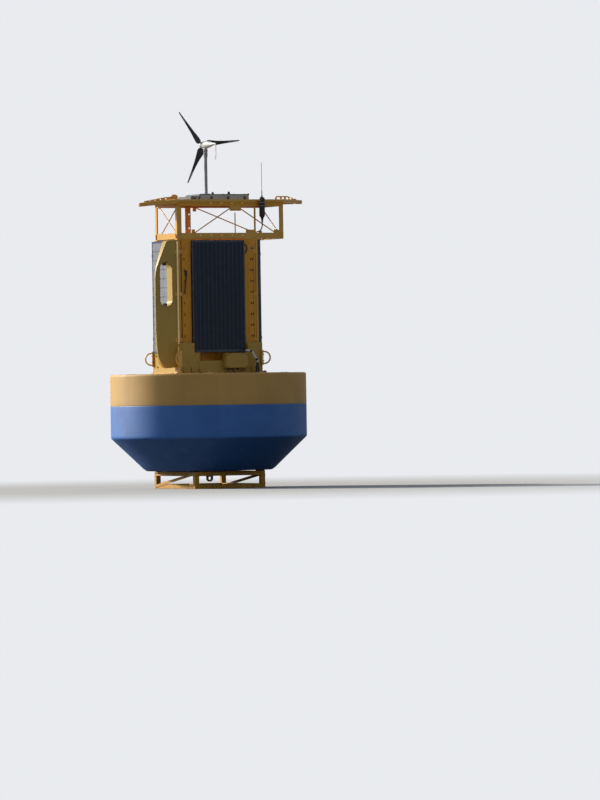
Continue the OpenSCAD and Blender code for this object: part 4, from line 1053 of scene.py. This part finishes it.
class BUOY_OT_panels(bpy.types.Operator):
    """Builds the four solar panels with cells, ribbons and frame details"""

    bl_idname = "buoy.panels"
    bl_label = "Solar panels"

    def execute(self, context):
        detail = context.scene.buoy_detail
        dressed("panel_frames", "anodised", 0.0015)
        laminate = frame["nodes"]["panel_laminates"]
        laminate.data.materials.clear()
        laminate.data.materials.append(material_of("back_sheet")[0])
        clean, glare_cells, ribbons, gear = Work(), Work(), Work(), Work()
        low, high = BOX["panel_frames"]
        middle = (low.z + high.z) / 2
        half, nick = detail.cell / 2, detail.cell * 0.11
        corner = [(half, half - nick), (half - nick, half)]
        octagon = []
        for sx, sy, order in ((1, 1, 1), (-1, 1, -1), (-1, -1, 1), (1, -1, -1)):
            octagon += [(sx * x, sy * y) for x, y in corner[::order]]
        # turn about Z, distance of the glass from the axis, and the cells behind it
        quarter = math.pi / 2
        faces = ((0, 0.427, clean), (math.pi, 0.427, clean), (quarter, 0.66, glare_cells), (-quarter, 0.66, glare_cells))
        for turn, reach, cells in faces:
            spin = Matrix.Rotation(turn, 4, "Z")
            for i in range(6):
                x = (i - 2.5) * (detail.cell + 0.0017)
                for k in range(12):
                    z = middle + (k - 5.5) * (detail.cell + detail.cell_gap)
                    cells.plate(octagon, -0.0005, 0.0004, spin @ facing((x, -reach, z), FRONT))
                for u in (x - 0.031, x + 0.031):
                    foot = (u - 0.0016, -reach - 0.0009, low.z + 0.028)
                    ribbons.block(foot, (u + 0.0016, -reach, high.z - 0.028), spin)
            for side, edge in ((-1, low.z), (1, high.z)):
                z = edge - side * 0.012
                for x in (-0.39, 0.39):
                    gear.screw(spin @ Vector((x, -reach - 0.003, z)), spin.to_3x3() @ FRONT, 0.0045)
                bus = (-0.36, -reach - 0.0007, z - side * 0.012)
                ribbons.block(bus, (0.36, -reach, z - side * 0.018), spin)
                z = edge - side * 0.2
                for sx in SIDES:
                    clip = (sx * 0.408, -reach - 0.0055, z - 0.02)
                    gear.block(clip, (sx * 0.378, -reach - 0.003, z + 0.02), spin)
        place(clean, "solar_cells", "cells", sharp=20)
        # the side panels' paler cells are painted glare
        place(glare_cells, "side_solar_cells", "glare_painted_cells", sharp=20)
        place(ribbons, "solar_ribbons", "ribbon", sharp=20)
        place(gear, "panel_clips", "anodised", bevel=0.0004)
        dressed("panel_cable", "cable", 0, 60)
        return {"FINISHED"}


class BUOY_OT_halo(bpy.types.Operator):
    """Builds the halo's beams, posts, braces and their fittings"""

    bl_idname = "buoy.halo"
    bl_label = "Halo"

    def execute(self, context):
        table("enamel", halo_lower_beams=1.5, halo_lower_crossbeams=1.5)
        # the upper beams take the orange of painted bounce light
        table("shaded_enamel", halo_upper_beams=1.5)
        table("enamel", halo_upper_crossbeams=1.5, halo_posts=1.5, halo_braces=0, halo_gussets=1.5)
        low, high = BOX["halo_lower_beams"]
        upper_low, upper_high = BOX["halo_upper_beams"]
        top, front = upper_low.z, low.y
        bolts, beads, lugs, caps = Work(), Work(), Work(), Work()
        for sy in SIDES:
            # bolts through the beams' ends, and over the tower's legs
            ends = (low.x + 0.02, low.x + 0.05, high.x - 0.02, high.x - 0.045)
            rows = (low.z + 0.02, high.z - 0.02, top + 0.017, upper_high.z - 0.017)
            over_legs = (low.z + 0.022, high.z - 0.022)
            for places, heights, across in ((ends, rows, 0.016), ((0.56, 0.6), over_legs, 0.018)):
                for x in places:
                    for z in heights:
                        bolts.bolt((x, sy * high.y, z), (0, sy, 0), across, x * 30)
        # bolts of the front's gussets, under the upper beam and over the lower one
        under, over = (0.23, 0.262, 0.322, 0.354), (0.48, 0.53, 0.9, 0.945)
        for z, places in ((top - 0.045, under), (high.z + 0.02, over)):
            for x in places:
                bolts.bolt((x, front, z), FRONT, 0.016, x * 30)
        # welds at the posts' feet and heads: side, place along X, width
        for sy, x, width in ((1, low.x, 0.07), (-1, low.x, 0.07), (-1, high.x - 0.064, 0.064)):
            y = sy * (high.y + 0.001)
            for z in (high.z + 0.002, top - 0.002):
                beads.bead([(x, y, z), (x + width, y, z)], 0.004)
        # brace ends: place along X, side, bottom or top
        for x, sy, at_top in (
            (-0.345, -1, False), (0.282, -1, True), (0.93, -1, False), (0.312, -1, True), (-0.018, 1, True),
            (1.0, 1, False),
        ):
            z, up = (top, -1) if at_top else (high.z, 1)
            y = sy * (LEG_Y - 0.0095)
            lugs.block((x - 0.026, y - 0.004, z), (x + 0.026, y + 0.004, z + up * 0.05))
            bolts.bolt((x, y - sy * 0.004, z + up * 0.03), (0, -sy, 0), 0.014)
        # bright gold caps on the beams' holes: painted highlights where light shows through the holes
        domed = [(0, -0.006), (0.0125, -0.006), (0.0125, -0.001), (0.0105, 0.002), (0.006, 0.0035), (0, 0.004)]
        for first, count, z in ((-0.248, 5, 3.565), (-0.086, 4, 4.018)):
            for i in range(count):
                caps.turned(domed, facing((first + 0.162 * i, front, z), FRONT), 18)
        place(caps, "beam_hole_caps", "pale_gold_painted_highlight")
        place(bolts, "halo_bolts", "enamel")
        place(beads, "halo_welds", "enamel", sharp=60)
        place(lugs, "brace_lugs", "enamel", bevel=0.001)
        return {"FINISHED"}


def droop(x):
    """How far the roof's stern nose hangs below the deck's level at a place along X."""
    return 0.036 * max(0.0, (STERN_ROOT - x) / 0.414)


class BUOY_OT_roof(bpy.types.Operator):
    """Builds the roof deck, its rims, fins, tray and stubs"""

    bl_idname = "buoy.roof"
    bl_label = "Roof"

    def execute(self, context):
        pitch = context.scene.buoy_detail.rivet_pitch
        table("tray", roof_tray=8)
        # the stubs are paler with painted sunlight
        table("rubbed_enamel", roof_stubs=1)
        for node, bevel in (("roof_deck", 0.003), ("roof_rims", 0.002), ("roof_fins", 0.0012)):
            dressed(node, "enamel", bevel, shape=self.lean)
        self.nose_ends()
        low, high = BOX["roof_deck"]
        seams, rivets, gear, lids, panels = Work(), Work(), Work(), Work(), Work()
        for sy in SIDES:
            for x in along(-0.6, 1.02, pitch):
                rivets.rivet((x, sy * (high.y - 0.014), ROOF), UP)
        for root, tip in ((STERN_ROOT, -1.024), (BOW_ROOT, 1.5)):
            for sy in SIDES:
                for t in along(0.05, 0.85, 0.13):
                    x, y = root + (tip - root) * t, sy * 0.38 * (1 - t)
                    rivets.rivet((x, y, ROOF - droop(x)), UP)
            seams.block((root - 0.02, -0.385, ROOF - 0.001), (root + 0.02, 0.385, ROOF + 0.003))
        low, high = BOX["roof_tray"]
        thick = 0.006
        for x0, x1, z in ((low.x + 0.012, -0.212, high.z - 0.03), (-0.188, high.x - 0.012, high.z)):
            lids.block((x0, low.y + 0.012, z - 0.002), (x1, high.y - 0.012, z + thick))
            for x in along(x0 + 0.03, x1 - 0.03, 0.17):
                for y in (low.y + 0.03, high.y - 0.03):
                    gear.screw((x, y, z + thick), UP, 0.007)
        for sy in SIDES:
            y = sy * high.y
            for x in along(low.x + 0.06, high.x - 0.06, 0.28):
                lids.block((x - 0.02, y - 0.004, ROOF), (x + 0.02, y + 0.004, ROOF + 0.05))
                gear.bolt((x, y + sy * 0.004, ROOF + 0.02), (0, sy, 0), 0.014)
            # the side panels carry the tray's paint made paler as painted light
            for x0, x1, z in ((-0.18, high.x - 0.012, high.z - 0.009), (low.x + 0.05, -0.22, high.z - 0.039)):
                panels.block((x0, y - sy * 0.004, ROOF + 0.006), (x1, y + sy * 0.0018, z))
        gland = [(0, 0), (0.022, 0), (0.022, 0.012), (0.016, 0.016), (0.016, 0.034), (0.01, 0.04), (0, 0.04)]
        for x, y in ((0.15, 0.08), (0.32, -0.1), (0.42, 0.12)):
            gear.turned(gland, facing((x, y, high.z + thick), UP), 12)
        for x, y, h in ((0.64, -0.06, 0.08), (0.668, 0.04, 0.06), (0.61, 0.09, 0.07)):
            cap = [(0, h - 0.004), (0.0135, h - 0.004), (0.0145, h + 0.004), (0.012, h + 0.013), (0, h + 0.017)]
            gear.turned(cap, facing((x, y, ROOF), UP), 20)
        place(rivets, "roof_rivets", "enamel")
        place(seams, "roof_seams", "enamel", bevel=0.001)
        place(lids, "tray_lids", "tray", bevel=0.002)
        place(panels, "tray_side_panels", "tray_panel", bevel=0.0008)
        place(gear, "roof_gear", "fitting")
        return {"FINISHED"}

    def lean(self, bm):
        """Splits a shape at the stern nose's root, and lowers what lies beyond."""
        geometry = [*bm.verts, *bm.edges, *bm.faces]
        bmesh.ops.bisect_plane(bm, geom=geometry, plane_co=(STERN_ROOT, 0, 0), plane_no=BOW)
        for vert in bm.verts:
            vert.co.z -= droop(vert.co.x)

    def nose_ends(self):
        """Rounded ends that close the deck's two noses."""
        low, high = BOX["roof_tips"]
        deck_low, deck_high = BOX["roof_deck"]
        radius = high.y
        noses = Work()
        # end of the nose, end of the deck, where the nose starts, and its side
        for tip, cut, root, side in ((low.x, deck_low.x, STERN_ROOT, -1), (high.x, deck_high.x, BOW_ROOT, 1)):
            half = deck_high.y * abs(tip - cut) / abs(tip - root) - 0.001
            centre = tip - side * radius
            arc = [(centre + side * x, y) for x, y in circle(radius, 13, math.radians(-62), math.radians(124))]
            start = cut + side * 0.0004
            noses.plate([(start, -half), *arc, (start, half)], low.z, high.z)
        for point in noses.points:
            point.z -= droop(point.x)
        place(noses, "nose_ends", "enamel", bevel=0.008, replaced=("roof_tips",))


class BUOY_OT_antenna(bpy.types.Operator):
    """Builds the antenna, its bracket and its cable"""

    bl_idname = "buoy.antenna"
    bl_label = "Antenna"

    def execute(self, context):
        low, high = BOX["antenna_base"]
        tip = BOX["antenna_whip"][1].z
        bracket_low, bracket_high = BOX["antenna_bracket"]
        x, y = 0.68, -0.444
        r = 0.0415
        body, whip, gear = Work(), Work(), Work()
        foot = ((0, 0), (0.011, 0), (0.0125, 0.02), (0.016, 0.045), (0.02, 0.066), (0.03, 0.08), (r, 0.1))
        profile = [(radius, low.z + z) for radius, z in foot]
        z = low.z + 0.112
        while z < high.z - 0.05:
            profile += [(r, z), (r - 0.0025, z + 0.002), (r - 0.0025, z + 0.006), (r, z + 0.008)]
            z += 0.026
        head = ((r, 0.03), (r - 0.004, 0.02), (0.024, 0.008), (0.011, 0), (0, 0))
        profile += [(radius, high.z - z) for radius, z in head]
        body.turned(profile, Matrix.Translation((x, y, 0)), 40)
        arm_low, arm_high = bracket_low.z - 0.01, bracket_high.z + 0.01
        body.block((x - 0.014, y + 0.03, arm_low), (x + 0.014, y + 0.043, arm_high))
        place(body, "antenna_body", "abs_black", bevel=0.0008, replaced=("antenna_base",))
        rod = [(0, high.z), (0.009, high.z), (0.009, high.z + 0.02), (0.0065, high.z + 0.03)]
        rod += [(0.0065, high.z + 0.075), (0.0035, high.z + 0.09), (0.0028, tip - 0.012), (0.0045, tip - 0.009)]
        rod += [(0.0045, tip - 0.003), (0, tip)]
        whip.turned(rod, Matrix.Translation((x, y, 0)), 16)
        place(whip, "antenna_rod", "abs_black", replaced=("antenna_whip",))
        dressed("antenna_bracket", "fitting", 0.002)
        dressed("antenna_cable", "cable", 0, 60)
        for z in (arm_low + 0.008, arm_high - 0.008):
            loop = [(x + u, y + v, z) for u, v in circle(0.0455, 21, math.radians(200), math.radians(140))]
            gear.pipe([(x - 0.0428, y + 0.034, z), *loop, (x + 0.0428, y + 0.034, z)], 0.003, 8)
        for u in (x - 0.013, x + 0.013):
            for z in (arm_low + 0.022, arm_high - 0.022):
                gear.bolt((u, bracket_low.y, z), FRONT, 0.01)
        place(gear, "antenna_straps", "bolts")
        return {"FINISHED"}


class BUOY_OT_turbine(bpy.types.Operator):
    """Builds the wind turbine's mast, head and rotor"""

    bl_idname = "buoy.turbine"
    bl_label = "Wind turbine"

    def execute(self, context):
        dressed("turbine_mast", "pipe_grey", 0.0015)
        dressed("turbine_nacelle", "white", 0.0015, 40, body="turbine_head")
        dressed("turbine_fin", "white", 0.0015, body="turbine_head")
        dressed("rotor_hub", "white", 0.001, 40, body="rotor")
        joints = {joint["name"]: joint["pos_m"] for joint in frame["joints"]}
        axis, yaw = joints["rotor_spin"], joints["turbine_yaw"]
        bolts, seams, tail, collar = Work(), Work(), Work(), Work()
        foot = BOX["turbine_mast"][0].z + 0.012
        for x, y in circle(0.046, 6, math.radians(30)):
            bolts.bolt((yaw[0] + x, y, foot), UP, 0.016, x * 50)
        for x, y in circle(0.0282, 3, math.radians(90)):
            bolts.screw((yaw[0] + x, y, yaw[2] - 0.03), (x, y, 0), 0.005)
        place(bolts, "mast_bolts", "bolts")
        r = 0.0496
        ring = [(r, -0.0015), (r + 0.0012, -0.001), (r + 0.0012, 0.001), (r, 0.0015), (r - 0.003, 0)]
        for y in (-0.02, 0.04):
            seams.turned(ring, facing((yaw[0], y, axis[2]), REAR), 48, ring=True)
        for x, z in circle(1, 6, math.radians(30)):
            out = Vector((x, 0, z))
            seams.screw(Vector((yaw[0], 0.01, axis[2])) + out * 0.0497, out, 0.0035)
        place(seams, "nacelle_seams", "white", body="turbine_head")
        lamp = [(0, 0), (0.006, 0), (0.006, 0.002), (0.004, 0.005), (0, 0.006)]
        tail.turned(lamp, facing((yaw[0], -0.366, axis[2]), FRONT), 16)
        place(tail, "tail_lamp", "fitting", body="turbine_head")
        sleeve = [(0.02, 0.0012), (0.0275, 0.0012), (0.0285, 0.003), (0.0325, 0.034), (0.031, 0.038)]
        sleeve += [(0.02, 0.038)]
        collar.turned(sleeve, Matrix.Translation(yaw), 32, ring=True)
        place(collar, "neck_collar", "pipe_grey", body="turbine_head")
        self.rotor(axis)
        return {"FINISHED"}

    def rotor(self, axis):
        """Three lofted blades whose outer ends are worn, with screws at the hub."""
        # share of the blade's length, chord, twist in degrees, thickness
        stations = [
            (0, 0.062, 34, 0.016), (0.06, 0.106, 26, 0.013), (0.17, 0.09, 19, 0.01), (0.34, 0.061, 13, 0.008),
            (0.58, 0.039, 8, 0.006), (0.82, 0.028, 5, 0.005), (1, 0.016, 3, 0.003),
        ]
        root, tip = 0.0463, 0.585
        rows = smooth_path([s[1:] for s in stations], 6)
        shares = [v.x for v in smooth_path([(s[0], 0, 0) for s in stations], 6)]
        rows[-1] = Vector((rows[-1].x * 0.7, rows[-1].y, rows[-1].z * 0.7))
        section = self.section()
        rings = []
        for share, (chord, twist, thick) in zip(shares, rows):
            lean = Matrix.Rotation(math.radians(twist), 4, "X")
            reach = Vector((root + share * (tip - root), 0, 0))
            rings.append([reach + lean @ Vector((0, thick * v, chord * u)) for u, v in section])
        worn = next(i for i, share in enumerate(shares) if share > 0.66)
        blades, tips, gear = Work(), Work(), Work()
        for k in range(3):
            spin = Matrix.Translation(axis) @ Matrix.Rotation(-math.radians(6.5 + 120 * k), 4, "Y")
            for work, part in ((blades, rings[: worn + 1]), (tips, rings[worn:])):
                work.add([point for ring in part for point in ring], skin_faces(len(part), len(section)), spin)
            for dz in (-0.008, 0.012):
                gear.screw(spin @ Vector((0.036, -0.0285, dz)), FRONT, 0.0035)
                gear.screw(spin @ Vector((0.0345, 0.0335, dz)), spin.to_3x3() @ Vector((0.6, 1, 0)), 0.0035)
        place(blades, "rotor_blade_shells", "blade", body="rotor", sharp=60, replaced=("rotor_blades",))
        place(tips, "rotor_blade_tips", "blade_tip", body="rotor", sharp=60)
        place(gear, "hub_screws", "bolts", body="rotor")

    def section(self):
        """A blade's cross-section: chordwise from -0.35 to 0.65, thickness within -0.5 to 0.5."""
        upper, lower = [], []
        for i in range(11):
            t = (1 - math.cos(math.pi * i / 10)) / 2
            thick = 2.6 * (0.2969 * math.sqrt(t) - 0.126 * t - 0.3516 * t**2 + 0.2843 * t**3 - 0.1015 * t**4)
            camber = 0.18 * (t - t * t)
            upper.append((t - 0.35, camber + thick - 0.02))
            lower.append((t - 0.35, camber - thick * 0.8 - 0.02))
        return upper + lower[-2:0:-1]


# Stage


class BUOY_OT_stage(bpy.types.Operator):
    """Sets up the camera, the floor, the backdrop and the lamps"""

    bl_idname = "buoy.stage"
    bl_label = "Stage"

    def execute(self, context):
        stage = context.scene.buoy_stage
        self.camera(context.scene)
        self.floor(context.scene, stage)
        self.world(context.scene, stage)
        # name, strength, colour, where it shines from, and how wide it looks in degrees
        for name, strength, colour, source, angle in (
            ("key", stage.key, "FFF4E2", (-0.55, 0.745, 0.375), 4),
            ("fill", stage.fill, "EFF4FF", (-0.66, 0.68, 0.32), 24),
        ):
            lamp = bpy.data.lights.new(name, "SUN")
            lamp.energy = strength
            lamp.angle = math.radians(angle)
            lamp.color = linear(colour)
            piece = bpy.data.objects.new(name, lamp)
            piece.rotation_euler = Vector(source).to_track_quat("Z", "Y").to_euler()
            context.scene.collection.objects.link(piece)
        return {"FINISHED"}

    def camera(self, scene):
        """The photograph's view: eye level 1.175 m, 90 m away, turned and rolled as it was held."""
        away, eye = 90.0, 1.175
        film, height = 36, 800  # millimetres and pixels along the picture's taller side
        pixels = 70.6 * away  # focal length in pixels: 70.6 of them show a metre at the buoy
        roll = math.radians(0.9)
        # pixels from the picture's middle to the buoy's axis at eye level, turned back by the roll
        aside, below = -91.5, -5.0
        cos, sin = math.cos(roll), math.sin(roll)
        yaw = math.atan((aside * cos + below * sin) / pixels)
        pitch = -math.atan((below * cos - aside * sin) / pixels)
        towards = Vector((-0.3987, -0.9171, 0))
        # the lens turns away from the axis, so that the axis stands left of the middle
        turn = Matrix.Rotation(yaw, 3, "Z")
        right, back = turn @ Vector((-towards.y, towards.x, 0)), turn @ towards
        tilt = Matrix.Rotation(pitch, 3, right)
        up, back = tilt @ UP, tilt @ back
        basis = Matrix((right * cos - up * sin, up * cos + right * sin, back)).transposed().to_4x4()
        lens = bpy.data.cameras.new("camera")
        lens.sensor_width = film
        lens.lens = pixels / height * film
        lens.clip_end = 1000
        camera = bpy.data.objects.new("camera", lens)
        camera.matrix_world = Matrix.Translation(towards * away + UP * eye) @ basis
        scene.collection.objects.link(camera)
        scene.camera = camera

    def floor(self, scene, stage):
        """A pale disc that fades into the backdrop's colour away from the stand."""
        steps, rings = 64, (4.0, 9.0, 20.0, 60.0, 240.0)
        points = [(0, 0, 0)] + [(x, y, 0) for radius in rings for x, y in circle(radius, steps)]
        faces = [(0, 1 + k, 1 + (k + 1) % steps) for k in range(steps)]
        for i in range(len(rings) - 1):
            a, b = 1 + i * steps, 1 + (i + 1) * steps
            faces += [(a + k, b + k, b + (k + 1) % steps, a + (k + 1) % steps) for k in range(steps)]
        mesh = bpy.data.meshes.new("floor")
        mesh.from_pydata(points, [], faces)
        material, tree, where = blank("studio_floor")
        apart = add(tree, "VectorMath", {"operation": "LENGTH"}, (where,))
        fade = add(tree, "MapRange", None, ((apart, "Value"), 4.0, 13.0, 0.0, 1.0))
        seen = (add(tree, "LightPath"), "Is Camera Ray")
        share = add(tree, "Math", MULTIPLY, (fade, seen))
        # only the eye sees the pale floor; little light comes back from it onto the object
        colour = add(tree, "Mix", RGBA, {0: seen, 6: linear("7C8287", 1), 7: (*stage.floor, 1)})
        matt = add(tree, "BsdfDiffuse", None, {"Color": (colour, 2)})
        pale = add(tree, "Emission", None, {"Color": (*stage.backdrop, 1), "Strength": 1.0})
        mix = add(tree, "MixShader", None, (share, matt, pale))
        add(tree, "OutputMaterial", None, {"Surface": mix})
        mesh.materials.append(material)
        floor = bpy.data.objects.new("floor", mesh)
        scene.collection.objects.link(floor)

    def world(self, scene, stage):
        """Even soft light; the eye, reflections and glass see the pale backdrop."""
        world = bpy.data.worlds.new("studio")
        world.use_nodes = True
        tree = world.node_tree
        tree.nodes.clear()
        path = add(tree, "LightPath")
        seen = path, "Is Camera Ray"
        mirrored = add(tree, "Math", {"operation": "MAXIMUM"}, (seen, (path, "Is Glossy Ray")))
        backdrop = add(tree, "Math", {"operation": "MAXIMUM"}, (mirrored, (path, "Is Transmission Ray")))
        soft = add(tree, "Background", None, {"Color": (0.86, 0.93, 1.0, 1), "Strength": stage.ambient})
        # reflections get less of it than the eye, because half of a real object's surroundings is dark
        strength = add(tree, "MapRange", None, (seen, 0.0, 1.0, 0.55, 1.0))
        pale = add(tree, "Background", None, {"Color": (*stage.backdrop, 1), "Strength": strength})
        mix = add(tree, "MixShader", None, (backdrop, soft, pale))
        add(tree, "OutputWorld", None, {"Surface": mix})
        scene.world = world
        scene.view_settings.view_transform = "Standard"


STEPS = ("stage", "hull", "stand", "base", "tower", "vane", "panels", "halo", "roof", "antenna", "turbine")


class BUOY_PT_panel(bpy.types.Panel):
    """Lists the buoy's settings and its pieces"""

    bl_idname = "BUOY_PT_panel"
    bl_label = "Moored surface buoy"
    bl_space_type = "VIEW_3D"
    bl_region_type = "UI"
    bl_category = "Buoy"

    def draw(self, context):
        scene = context.scene
        for group in (scene.buoy_paint, scene.buoy_detail, scene.buoy_stage):
            column = self.layout.box().column()
            for name in group.__annotations__:
                column.prop(group, name)
        column = self.layout.column(align=True)
        for step in STEPS:
            column.operator("buoy." + step)


GROUPS = {"buoy_paint": BuoyPaint, "buoy_detail": BuoyDetail, "buoy_stage": BuoyStage}
CLASSES = (
    *GROUPS.values(), BUOY_OT_hull, BUOY_OT_stand, BUOY_OT_base, BUOY_OT_tower, BUOY_OT_vane, BUOY_OT_panels,
    BUOY_OT_halo, BUOY_OT_roof, BUOY_OT_antenna, BUOY_OT_turbine, BUOY_OT_stage, BUOY_PT_panel,
)


def register():
    for item in CLASSES:
        bpy.utils.register_class(item)
    for name, group in GROUPS.items():
        setattr(bpy.types.Scene, name, PointerProperty(type=group))


def unregister():
    for name in GROUPS:
        delattr(bpy.types.Scene, name)
    for item in reversed(CLASSES):
        bpy.utils.unregister_class(item)


def main():
    register()
    for step in STEPS:
        getattr(bpy.ops.buoy, step)()


if __name__ == "__main__":
    main()
